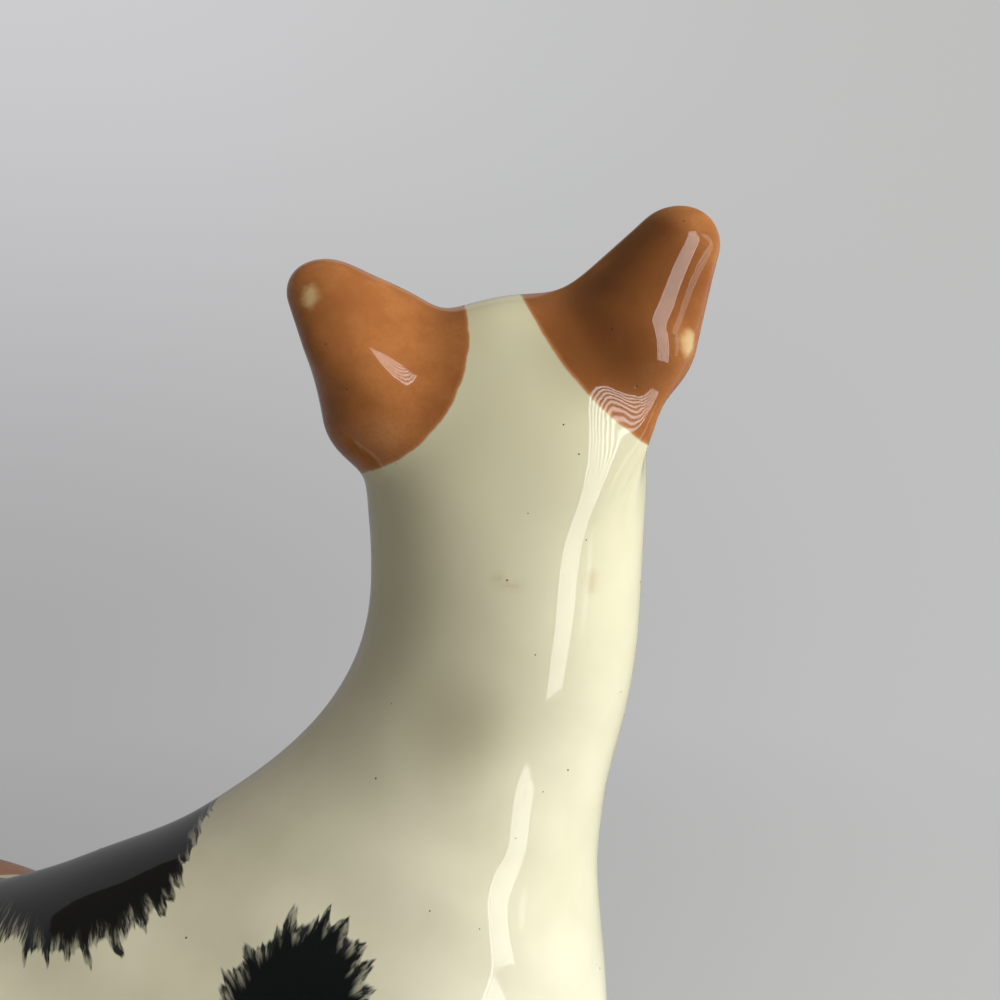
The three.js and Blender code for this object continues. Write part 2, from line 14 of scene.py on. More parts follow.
import bpy
import numpy as np
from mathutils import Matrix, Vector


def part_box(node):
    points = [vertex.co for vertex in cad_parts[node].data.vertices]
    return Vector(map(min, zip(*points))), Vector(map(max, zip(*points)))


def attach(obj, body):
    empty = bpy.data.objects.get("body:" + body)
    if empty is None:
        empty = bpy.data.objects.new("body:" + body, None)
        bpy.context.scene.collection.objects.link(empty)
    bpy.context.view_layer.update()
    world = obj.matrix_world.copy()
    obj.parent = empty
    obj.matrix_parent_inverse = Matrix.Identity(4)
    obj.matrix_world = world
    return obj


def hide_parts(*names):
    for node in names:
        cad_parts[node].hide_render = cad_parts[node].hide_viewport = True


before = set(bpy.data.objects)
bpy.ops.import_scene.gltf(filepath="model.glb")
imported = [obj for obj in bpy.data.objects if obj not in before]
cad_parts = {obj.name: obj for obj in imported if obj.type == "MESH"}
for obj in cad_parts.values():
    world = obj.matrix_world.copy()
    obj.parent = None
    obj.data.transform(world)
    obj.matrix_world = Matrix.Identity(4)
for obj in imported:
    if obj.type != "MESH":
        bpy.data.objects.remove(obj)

import openvdb
from mathutils import Vector

LOG = logging.getLogger("dog_figurine")
MM = 0.001
ORIGIN_SETBACK = 18.0
BODY = "root"
BODY_NODE, HEAD_NODE = "body_shell", "head_shell"
HANDS = (-1.0, 1.0)
FAR = 60.0
AT_CENTRE, NO_SLOPE, ON_AXIS = 1e-3, 1e-6, 1e-4

Pair = tuple[float, float]
Point = tuple[float, float, float]
Spot = tuple[Point, Point]
Colour = tuple[float, float, float]
Places = np.ndarray
Form = Callable[[Places], np.ndarray]
Socket = bpy.types.NodeSocket


class Side(Enum):
    """The dog's two sides, as the sign of y on the body and of x on the turned head."""

    LEFT = "left"
    RIGHT = "right"

    @property
    def across(self) -> float:
        """The sign of y for this side of the body."""
        return 1.0 if self is Side.LEFT else -1.0

    @property
    def on_head(self) -> float:
        """The sign of the head's own x for this side."""
        return -self.across


class Axis(Enum):
    """The three axes, by their place in a point."""

    X = 0
    Y = 1
    Z = 2


class Slot(Enum):
    """The record's material slots."""

    CREAM = "cream_glaze"
    TAN = "tan_glaze"


class Paint(Enum):
    """Surface attributes that the glaze reads: distances in millimetres from where a paint ends."""

    TAN = "tan_edge"
    BLACK = "black_edge"
    BLACK_ALONG = "black_along"
    FEATURE = "feature_edge"
    WORN = "worn_edge"
    # Painted shade: distance from the spots where the glaze colour is darkened to stand in for shade.
    PAINTED_SHADE = "pool_edge"
    STAIN = "stain_edge"
    BARE = "bare_edge"


# Forms: each takes rows of places and gives roughly their distance from a surface, negative inside


def vector(point: Sequence[float]) -> np.ndarray:
    """A point as an array."""
    return np.asarray(point, np.float32)


def row_lengths(rows: np.ndarray) -> np.ndarray:
    """The length of each row."""
    return np.sqrt(np.einsum("ij,ij->i", rows, rows))


def limb(
    start: Sequence[float], end: Sequence[float], start_radius: float, end_radius: float, eased: bool = True
) -> Form:
    """A round bar whose radius goes from one end to the other.

    Args:
        start: Centre of the first end.
        end: Centre of the second end.
        start_radius: Radius at the first end.
        end_radius: Radius at the second end.
        eased: Whether the radius changes slowly near the ends, and not evenly.

    Returns:
        The form.
    """
    origin = vector(start)
    run = vector(end) - origin
    scale = 1.0 / float(run @ run)

    def form(places: Places) -> np.ndarray:
        offset = places - origin
        share = np.clip((offset @ run) * scale, 0.0, 1.0)
        way = share * share * (3.0 - 2.0 * share) if eased else share
        radius = start_radius + (end_radius - start_radius) * way
        offset -= share[:, None] * run
        return row_lengths(offset) - radius

    return form


def chain(
    points: Sequence[Sequence[float]], radii: Sequence[float], softness: float, eased: bool = True
) -> Form:
    """A row of bars that run into each other.

    Args:
        points: Centres of the joints.
        radii: Radius at each joint.
        softness: Width over which the bars merge.
        eased: Whether each bar's radius changes slowly near its ends.

    Returns:
        The form.
    """
    pairs = range(len(points) - 1)
    return blend(softness, *(limb(points[i], points[i + 1], radii[i], radii[i + 1], eased) for i in pairs))


def lump(centre: Sequence[float], size: Sequence[float], turn: np.ndarray | None = None) -> Form:
    """An ellipsoid.

    Args:
        centre: Its middle.
        size: Its three diameters.
        turn: Rotation from its own axes, if it is turned.

    Returns:
        The form.
    """
    middle = vector(centre)
    radii = vector(size) / 2.0

    def form(places: Places) -> np.ndarray:
        offset = places - middle
        if turn is not None:
            offset = offset @ turn
        offset /= radii
        reach = row_lengths(offset)
        offset /= radii
        slope = np.maximum(row_lengths(offset), NO_SLOPE)
        return np.where(reach < AT_CENTRE, -radii.min(), reach * (reach - 1.0) / slope)

    return form


def cone(root: Sequence[float], length: float, radii: Pair, flatness: float, turn: np.ndarray) -> Form:
    """A cone with round ends, thinner along its own y.

    Args:
        root: Centre of its thick end.
        length: Distance between the centres of its ends, along its own z.
        radii: Radii of the thick and the thin end.
        flatness: Its thickness as a share of its width.
        turn: Rotation from its own axes.

    Returns:
        The form.
    """
    origin = vector(root)
    wide, narrow = radii
    sink = (wide - narrow) / length
    rise = math.sqrt(1.0 - sink * sink)

    def form(places: Places) -> np.ndarray:
        x, y, z = ((places - origin) @ turn).T
        y = y / flatness
        out = np.maximum(np.hypot(x, y), ON_AXIS)
        way = rise * z - sink * out
        low, high = np.hypot(out, z), np.hypot(out, z - length)
        ends = (way < 0.0, way > rise * length)
        distance = np.select(ends, (low - wide, high - narrow), out * rise + z * sink - wide)
        outward = np.select(ends, (out / low, out / high), rise)
        along = np.select(ends, (z / low, (z - length) / high), sink)
        stretch = np.hypot(x, y / flatness) / out
        return (distance / np.hypot(outward * stretch, along)).astype(np.float32)

    return form


def slab(centre: Sequence[float], size: Sequence[float], corner: float, turn: np.ndarray) -> Form:
    """A box with round edges.

    Args:
        centre: Its middle.
        size: Its three lengths.
        corner: Radius of its edges.
        turn: Rotation from its own axes.

    Returns:
        The form.
    """
    middle = vector(centre)
    inner = vector(size) / 2.0 - corner

    def form(places: Places) -> np.ndarray:
        beyond = np.abs((places - middle) @ turn) - inner
        return row_lengths(np.maximum(beyond, 0.0)) + np.minimum(beyond.max(1), 0.0) - corner

    return form


def meet(first: np.ndarray, second: np.ndarray, softness: float) -> np.ndarray:
    """The nearer of two distances, eased over a width where they are alike."""
    overlap = np.maximum(softness - np.abs(first - second), 0.0) / softness
    return np.minimum(first, second) - overlap * overlap * overlap * (softness / 6.0)


def blend(softness: float, *forms: Form) -> Form:
    """Forms that run into each other over a width."""

    def form(places: Places) -> np.ndarray:
        nearest = forms[0](places)
        for other in forms[1:]:
            nearest = meet(nearest, other(places), softness)
        return nearest

    return form


def carve(softness: float, body: Form, *tools: Form) -> Form:
    """A form with tools cut out of it, with edges eased over a width."""

    def form(places: Places) -> np.ndarray:
        left = -body(places)
        for tool in tools:
            left = meet(left, tool(places), softness)
        return -left

    return form


def within(body: Form, low: Sequence[float], high: Sequence[float], elsewhere: Form | None = None) -> Form:
    """A form that is worked out only inside a box.

    Args:
        body: The form inside the box.
        low: Lowest corner of the box.
        high: Highest corner of the box.
        elsewhere: The form outside the box, which is otherwise far from any surface.

    Returns:
        The form.
    """
    floor, ceiling = vector(low), vector(high)

    def form(places: Places) -> np.ndarray:
        inside = ((places > floor) & (places < ceiling)).all(1)
        if inside.all():
            return body(places)
        values = elsewhere(places) if elsewhere else np.full(len(places), FAR, np.float32)
        if inside.any():
            values[inside] = body(places[inside])
        return values

    return form


def turned(axis: Axis, angle: float) -> np.ndarray:
    """A rotation about an axis by an angle in degrees."""
    c, s = math.cos(math.radians(angle)), math.sin(math.radians(angle))
    after, last = (axis.value + 1) % 3, (axis.value + 2) % 3
    turn = np.eye(3, dtype=np.float32)
    turn[after, after] = turn[last, last] = c
    turn[last, after], turn[after, last] = s, -s
    return turn


def turned_along(run: np.ndarray) -> np.ndarray:
    """A rotation that takes z to a heading."""
    ahead = run / float(np.linalg.norm(run))
    across = np.cross(vector((0.0, 1.0, 0.0)), ahead)
    across /= float(np.linalg.norm(across))
    return np.stack((across, np.cross(ahead, across), ahead), 1)


def taper(start: np.ndarray, end: np.ndarray, radii: Pair) -> Form:
    """A round cone between two points."""
    run = end - start
    return cone(start, float(np.linalg.norm(run)), radii, 1.0, turned_along(run))


# Sub-assemblies of the figure


@dataclass(frozen=True)
class Trunk:
    """Barrel, chest, belly, haunches and shoulders."""

    rump: Point = (-108.0, 0.0, 28.8)
    rump_radius: float = 25.0
    ribs: Point = (-30.0, 0.0, 41.2)
    rib_radius: float = 30.0
    chest: Point = (-13.3, 0.0, 38.0)
    chest_size: Point = (58.7, 54.0, 72.0)
    belly: Point = (-60.5, 0.0, 11.0)
    belly_size: Point = (124.0, 52.0, 40.0)
    softness: float = 22.0
    haunch_setback: float = 95.0
    haunch_spread: float = 24.0
    haunch_heights: Pair = (31.8, 27.0)
    haunch_size: Point = (64.0, 34.0, 54.0)
    haunch_tilt: float = 18.0
    haunch_softness: float = 18.0
    shoulder_tops: tuple[Point, Point] = ((-13.3, 15.0, 60.0), (-7.3, -10.5, 54.0))
    shoulder_top_radii: Pair = (15.0, 12.3)
    elbow: Point = (-17.0, 24.0, 17.0)
    elbow_radius: float = 12.0
    shoulder_softness: float = 17.2

    def barrel(self) -> Form:
        """The trunk without haunches and shoulders."""
        return blend(
            self.softness,
            limb(self.rump, self.ribs, self.rump_radius, self.rib_radius),
            lump(self.chest, self.chest_size),
            lump(self.belly, self.belly_size),
        )

    def haunches(self) -> Iterable[Form]:
        """The two thighs."""
        turn = turned(Axis.Y, self.haunch_tilt)
        for side, height in zip(Side, self.haunch_heights):
            middle = (-self.haunch_setback, side.across * self.haunch_spread, height)
            yield lump(middle, self.haunch_size, turn)

    def at_side(self, side: Side, point: Point) -> Point:
        """A point of the left side, moved to a side."""
        return (point[0], side.across * point[1], point[2])

    def shoulders(self) -> Iterable[Form]:
        """The two upper arms, of which the right one lies flatter."""
        for side, top, radius in zip(Side, self.shoulder_tops, self.shoulder_top_radii):
            yield limb(top, self.at_side(side, self.elbow), radius, self.elbow_radius)


@dataclass(frozen=True)
class Neck:
    """The upright neck, with a crest that runs down to the withers."""

    root: Point = (-5.5, -3.5, 70.0)
    root_radius: float = 16.7
    middle: Point = (0.0, 0.3, 96.6)
    middle_radius: float = 18.1
    top: Point = (0.5, 1.4, 120.0)
    top_radius: float = 20.4
    bones: int = 8
    inner_softness: float = 3.0
    crest_top: Point = (1.5, 0.0, 96.2)
    crest_radius: float = 7.5
    withers: Point = (-46.4, 0.0, 50.9)
    withers_radius: float = 9.4
    softness: float = 30.0
    seam_height: float = 89.0
    nape: Point = (0.0, -17.5, 124.0)
    nape_lean: float = 0.22
    nape_softness: float = 10.0

    def column(self) -> Form:
        """The neck's own bar, on an even bend through its root, middle and top."""
        root = vector((*self.root, self.root_radius))
        middle = vector((*self.middle, self.middle_radius))
        top = vector((*self.top, self.top_radius))
        pull = 2.0 * middle - (root + top) / 2.0
        shares = [step / self.bones for step in range(self.bones + 1)]
        joints = [root * (1 - t) ** 2 + pull * 2 * t * (1 - t) + top * t * t for t in shares]
        pairs = zip(joints, joints[1:])
        bones = (taper(low[:3], high[:3], (float(low[3]), float(high[3]))) for low, high in pairs)
        return blend(self.inner_softness, *bones)

    def behind_nape(self, places: Places) -> np.ndarray:
        """Distance from the space behind the flat nape, which leans towards the skull."""
        level = places[:, 1] - self.nape[1] + self.nape_lean * (self.nape[2] - places[:, 2])
        return level / math.hypot(1.0, self.nape_lean)

    def crest(self) -> Form:
        """The ridge behind the neck."""
        return limb(self.crest_top, self.withers, self.crest_radius, self.withers_radius)


@dataclass(frozen=True)
class Head:
    """Skull, muzzle, jaw, eyes, nose and mouth, in a frame of its own: x right, y forward, z up."""

    centre: Point = (2.85, 3.0, 131.0)
    roll: float = 8.5
    nod: float = 4.0
    skull_size: Point = (36.8, 43.0, 39.7)
    muzzle: tuple[Point, Point] = ((0.0, 14.0, -5.0), (0.0, 36.0, -8.5))
    muzzle_radii: Pair = (13.0, 10.0)
    jaw: tuple[Point, Point] = ((0.0, 0.0, -14.5), (0.0, 33.0, -14.5))
    jaw_radii: Pair = (9.7, 7.5)
    cheek: Point = (7.35, 8.0, -7.0)
    cheek_radius: float = 6.4
    softness: float = 11.0
    brow: Point = (8.0, 14.0, 10.2)
    brow_size: Point = (13.0, 10.0, 6.5)
    lip: tuple[Point, Point] = ((7.0, 20.0, -11.5), (4.0, 37.5, -12.0))
    lip_radii: Pair = (5.5, 5.5)
    detail_softness: float = 5.0
    eye: Point = (10.3, 15.4, 3.8)
    eye_size: Point = (8.6, 8.6, 8.6)
    eye_outward: float = 32.0
    socket: Point = (12.8, 21.5, 3.4)
    socket_size: Point = (11.0, 9.0, 10.0)
    lid_size: Point = (11.4, 10.6, 10.4)
    lid_edge: float = 0.7
    lid_softness: float = 2.4
    eye_softness: float = 0.3
    slit: Point = (0.0, 4.9, 0.1)
    slit_size: Point = (9.2, 6.4, 6.2)
    slit_tilt: float = 10.0
    nose: Point = (0.0, 43.6, -5.6)
    nose_size: Point = (12.0, 9.0, 9.0)
    nose_softness: float = 1.2
    nostril: Point = (3.0, 47.0, -6.2)
    nostril_size: Point = (2.8, 3.0, 2.2)
    nostril_softness: float = 1.0
    mouth: tuple[Point, ...] = (
        (0.0, 44.0, -14.6), (6.4, 40.6, -16.4), (9.6, 31.0, -16.6), (10.4, 22.0, -13.4),
    )
    mouth_radius: float = 0.9
    mouth_softness: float = 0.8
    philtrum: tuple[Point, Point] = ((0.0, 47.0, -9.6), (0.0, 44.0, -14.6))

    @property
    def turn(self) -> np.ndarray:
        """Rotation from the head's frame."""
        return turned(Axis.Y, -self.roll) @ turned(Axis.X, -self.nod)

    def at(self, point: Sequence[float], hand: float = 1.0) -> np.ndarray:
        """A point of the head's right side, moved to a side and into the figure's frame."""
        return self.turn @ (vector(point) * vector((hand, 1.0, 1.0))) + vector(self.centre)

    def ball(self, point: Point, size: Point, hand: float = 1.0) -> Form:
        """An ellipsoid of the head, on a side."""
        return lump(self.at(point, hand), size, self.turn)

    def bar(self, ends: tuple[Point, Point], radii: Pair, hand: float = 1.0) -> Form:
        """A round bar of the head, on a side."""
        return limb(self.at(ends[0], hand), self.at(ends[1], hand), *radii)

    def mass(self) -> Form:
        """The head without its features."""
        return blend(
            self.softness,
            lump(self.centre, self.skull_size, self.turn),
            self.bar(self.muzzle, self.muzzle_radii),
            self.bar(self.jaw, self.jaw_radii),
            limb(self.at(self.cheek, -1.0), self.at(self.cheek), self.cheek_radius, self.cheek_radius),
        )

    def eyeball(self, hand: float) -> Form:
        """One eye."""
        return self.ball(self.eye, self.eye_size, hand)

    def lids(self, hand: float) -> Form:
        """The lids of one eye: a cover over the ball, with an almond opening."""
        look = self.turn @ turned(Axis.Z, -hand * self.eye_outward) @ turned(Axis.Y, -hand * self.slit_tilt)
        middle = self.at(self.eye, hand)
        slit = lump(middle + look @ vector(self.slit), self.slit_size, look)
        return carve(self.lid_edge, lump(middle, self.lid_size, look), slit)

    def nose_tip(self) -> Form:
        """The nose leather."""
        return self.ball(self.nose, self.nose_size)

    def mouth_line(self) -> Form:
        """The line between the lips, on both sides."""
        sides = []
        for hand in HANDS:
            points = [self.at(point, hand) for point in self.mouth]
            sides.append(chain(points, [self.mouth_radius] * len(points), self.mouth_radius))
        cleft = self.bar(self.philtrum, (self.mouth_radius, self.mouth_radius))
        return blend(self.mouth_radius, *sides, cleft)

    def nostrils(self) -> Form:
        """Both nostrils."""
        pair = (self.ball(self.nostril, self.nostril_size, hand) for hand in HANDS)
        return blend(self.nostril_softness, *pair)

    def with_features(self, mass: Form) -> Form:
        """The features worked into a form that holds the head.

        Args:
            mass: The form that holds the head.

        Returns:
            The form with brows, lips, eyes, nose and mouth.
        """
        brows = (self.ball(self.brow, self.brow_size, hand) for hand in HANDS)
        lips = (self.bar(self.lip, self.lip_radii, hand) for hand in HANDS)
        sockets = (self.ball(self.socket, self.socket_size, hand) for hand in HANDS)
        padded = blend(self.detail_softness, mass, *brows, *lips)
        hollowed = carve(self.detail_softness, padded, *sockets)
        lidded = blend(self.lid_softness, hollowed, *(self.lids(hand) for hand in HANDS))
        seeing = blend(self.eye_softness, lidded, *(self.eyeball(hand) for hand in HANDS))
        nosed = blend(self.nose_softness, seeing, self.nose_tip())
        return carve(self.mouth_softness, nosed, self.mouth_line(), self.nostrils())


@dataclass(frozen=True)
class Ear:
    """One upright ear: a flat back that leans outward, a round rim and a thick hollowed front."""

    side: Side
    head: Head
    root: Point
    tip: Point
    radii: Pair
    flatness: float
    swing: float
    rim: Point
    rim_radii: Pair
    front_radii: Pair
    front_setback: float = 10.0
    front_tip_setback: float = 4.0
    front_softness: float = 5.0
    rim_softness: float = 8.0
    hollow_drop: float = 6.0
    hollow_forward: float = 9.0
    hollow_size: Point = (12.0, 12.0, 19.0)
    hollow_softness: float = 4.0

    @property
    def length(self) -> float:
        """Distance between the centres of the ear's round ends."""
        return math.hypot(self.tip[0] - self.root[0], self.tip[2] - self.root[2])

    @property
    def turn(self) -> np.ndarray:
        """Rotation from the ear's frame, whose z runs from root to tip and whose y faces its opening."""
        hand = self.side.on_head
        lean = math.degrees(math.atan2(self.tip[0] - self.root[0], self.tip[2] - self.root[2]))
        return self.head.turn @ turned(Axis.Y, hand * lean) @ turned(Axis.Z, -hand * self.swing)

    def form(self) -> Form:
        """The ear alone."""
        hand = self.side.on_head
        root, tip, rim = (self.head.at(point, hand) for point in (self.root, self.tip, self.rim))
        leaf = cone(root, self.length, self.radii, self.flatness, self.turn)
        back = blend(self.rim_softness, leaf, taper(rim, tip, self.rim_radii))
        ahead = self.head.at((self.root[0], self.root[1] + self.front_setback, self.root[2]), hand)
        top = self.head.at((self.tip[0], self.tip[1] + self.front_tip_setback, self.tip[2]), hand)
        front = taper(ahead, top, self.front_radii)
        middle = ahead + self.turn @ vector((0.0, self.hollow_forward, self.length - self.hollow_drop))
        hollow = lump(middle, self.hollow_size, self.turn)
        return carve(self.hollow_softness, blend(self.front_softness, back, front), hollow)


def left_ear(head: Head) -> Ear:
    """The left ear, with a broad low root."""
    return Ear(
        Side.LEFT, head, root=(19.3, -11.35, 15.0), tip=(24.4, -11.35, 21.4), radii=(10.45, 6.15),
        flatness=0.41, swing=40.6, rim=(20.55, -11.1, 4.1), rim_radii=(7.5, 4.05), front_radii=(9.4, 5.0),
    )


def right_ear(head: Head) -> Ear:
    """The right ear, narrower, with a small bulge on its outer edge."""
    return Ear(
        Side.RIGHT, head, root=(7.1, -8.2, 2.3), tip=(27.0, -8.2, 22.25), radii=(14.1, 5.7),
        flatness=0.23, swing=21.0, rim=(18.25, -7.7, 9.05), rim_radii=(8.8, 4.05), front_radii=(10.5, 4.8),
    )


@dataclass(frozen=True)
class Paw:
    """A paw with a fan of toes."""

    size: Point
    toes: int = 4
    toe_length: float = 12.0
    toe_drop: float = 1.0
    toe_proud: float = 1.4
    toe_fullness: float = 1.16
    toe_sweep: float = 0.35
    softness: float = 1.6

    def toe_tips(self, middle: Point) -> list[Point]:
        """Centres of the toes of a paw at a place."""
        pitch = self.size[1] / self.toes
        tips = []
        for index in range(self.toes):
            across = (index - (self.toes - 1) / 2.0) * pitch
            forward = (self.size[0] - self.toe_length) / 2.0 + self.toe_proud - self.toe_sweep * abs(across)
            tips.append((middle[0] + forward, middle[1] + across, middle[2] - self.toe_drop))
        return tips

    def form(self, middle: Point) -> Form:
        """The paw at a place."""
        width = self.size[1] / self.toes * self.toe_fullness
        toe = (self.toe_length, width, self.size[2] - 2.0 * self.toe_drop)
        toes = (lump(tip, toe) for tip in self.toe_tips(middle))
        return blend(self.softness, lump(middle, self.size), *toes)


@dataclass(frozen=True)
class Leg:
    """What forelegs and hind feet share: a paw on the ground beside the body."""

    side: Side
    spread: float
    paw_reach: float
    paw: Paw
    sole_cut: float = 1.2
    softness: float = 7.0

    def grounded(self, reach: float, radius: float) -> Point:
        """A place of the leg from which a radius reaches just below the ground."""
        return (reach, self.side.across * self.spread, radius - self.sole_cut)

    def with_paw(self, bone: Form) -> Form:
        """A bone of the leg with the paw."""
        return blend(self.softness, bone, self.paw.form(self.paw_middle))

    @property
    def paw_middle(self) -> Point:
        """Middle of the paw."""
        return self.grounded(self.paw_reach, self.paw.size[2] / 2.0)


@dataclass(frozen=True)
class Foreleg(Leg):
    """One foreleg, stretched forward along the ground."""

    spread: float = 17.0
    paw_reach: float = 50.0
    paw: Paw = Paw((27.0, 20.0, 16.0))
    trunk: Trunk = Trunk()
    wrist_reach: float = 35.0
    wrist_radius: float = 8.5

    def form(self) -> Form:
        """The leg alone."""
        elbow = self.trunk.at_side(self.side, self.trunk.elbow)
        wrist = self.grounded(self.wrist_reach, self.wrist_radius)
        return self.with_paw(limb(elbow, wrist, self.trunk.elbow_radius, self.wrist_radius))


@dataclass(frozen=True)
class HindFoot(Leg):
    """One hind foot, beside the haunch."""

    spread: float = 36.0
    paw_reach: float = -68.0
    paw: Paw = Paw((24.0, 18.0, 15.0))
    heel_reach: float = -104.0
    heel_radius: float = 8.0
    instep_share: float = 0.6

    def form(self) -> Form:
        """The foot alone."""
        heel = vector(self.grounded(self.heel_reach, self.heel_radius))
        instep = heel + (vector(self.paw_middle) - heel) * self.instep_share
        return self.with_paw(limb(heel, instep, self.heel_radius, self.heel_radius))


@dataclass(frozen=True)
class Tail:
    """The tail, laid round the left haunch."""

    root: Point = (-120.5, 0.0, 17.0)
    root_radius: float = 8.0
    tip_radius: float = 4.0
    loop_setback: float = 95.0
    loop_length: float = 42.0
    loop_width: float = 51.0
    start_angle: float = 150.0
    end_angle: float = 72.0
    taper: float = 1.5
    joints: int = 40
    root_joints: int = 6
    root_bend: float = 0.5
    sole_cut: float = 1.2
    softness: float = 0.3

    def loop(self, angle: float) -> np.ndarray:
        """A place on the loop round the haunch, at an angle in degrees from straight ahead."""
        tip_height = self.tip_radius - self.sole_cut
        fall = (angle - self.end_angle) / (180.0 - self.end_angle)
        x = self.loop_length * math.cos(math.radians(angle)) - self.loop_setback
        y = self.loop_width * math.sin(math.radians(angle))
        return vector((x, y, tip_height + (self.root[2] - tip_height) * fall))

    def form(self) -> Form:
        """The tail alone."""
        start, ahead = self.loop(self.start_angle), self.loop(self.start_angle - 1.0)
        heading = (ahead - start) / float(np.linalg.norm(ahead - start))
        root = vector(self.root)
        bend = start - heading * float(np.linalg.norm(start - root)) * self.root_bend
        points = []
        for step in range(self.root_joints):
            t = step / self.root_joints
            points.append(root * (1 - t) ** 2 + bend * 2 * t * (1 - t) + start * t**2)
        for step in range(self.joints):
            angle = self.start_angle + (self.end_angle - self.start_angle) * step / (self.joints - 1)
            points.append(self.loop(angle))
        shares = [(index / (len(points) - 1)) ** self.taper for index in range(len(points))]
        radii = [self.root_radius + (self.tip_radius - self.root_radius) * share for share in shares]
        return chain(points, radii, self.softness, eased=False)


@dataclass(frozen=True)
class Foot:
    """The flat unglazed foot, the cast wall and the pour opening."""

    wall: float = 4.5
    thickness: float = 5.0
    edge_softness: float = 2.0
    ceiling: float = 82.0
    pour_setback: float = 62.0
    pour_length: float = 54.0
    pour_width: float = 20.0
    pour_depth: float = 12.0
    pour_softness: float = 1.0

    def hollow(self, body: Form) -> Form:
        """The hollow inside a body, with the opening through which slip was poured.

        Args:
            body: The body's outer form.

        Returns:
            The form of the hollow.
        """

        def form(places: Places) -> np.ndarray:
            height = places[:, 2]
            inside = np.maximum(body(places) + self.wall, self.thickness - height)
            inside = np.maximum(inside, height - self.ceiling)
            pour = np.maximum(self.mouth(places), height - self.pour_depth)
            return meet(inside, pour, self.pour_softness)

        return form

    def mouth(self, places: Places) -> np.ndarray:
        """Distance from the outline of the pour opening, seen from below."""
        radii = vector((self.pour_length, self.pour_width)) / 2.0
        offset = (places[:, :2] - vector((-self.pour_setback, 0.0))) / radii
        return (np.linalg.norm(offset, axis=1) - 1.0) * radii.min()

    def mouth_below(self, places: Places) -> np.ndarray:
        """The same distance on the flat foot alone, and a great one elsewhere."""
        return np.where(places[:, 2] < self.thickness / 2.0, self.mouth(places), FAR)


@dataclass(frozen=True)
class Patch:
    """A patch of brushed paint: a form, and the place that its brush strokes start from."""

    form: Form
    heart: Point
    girth: float


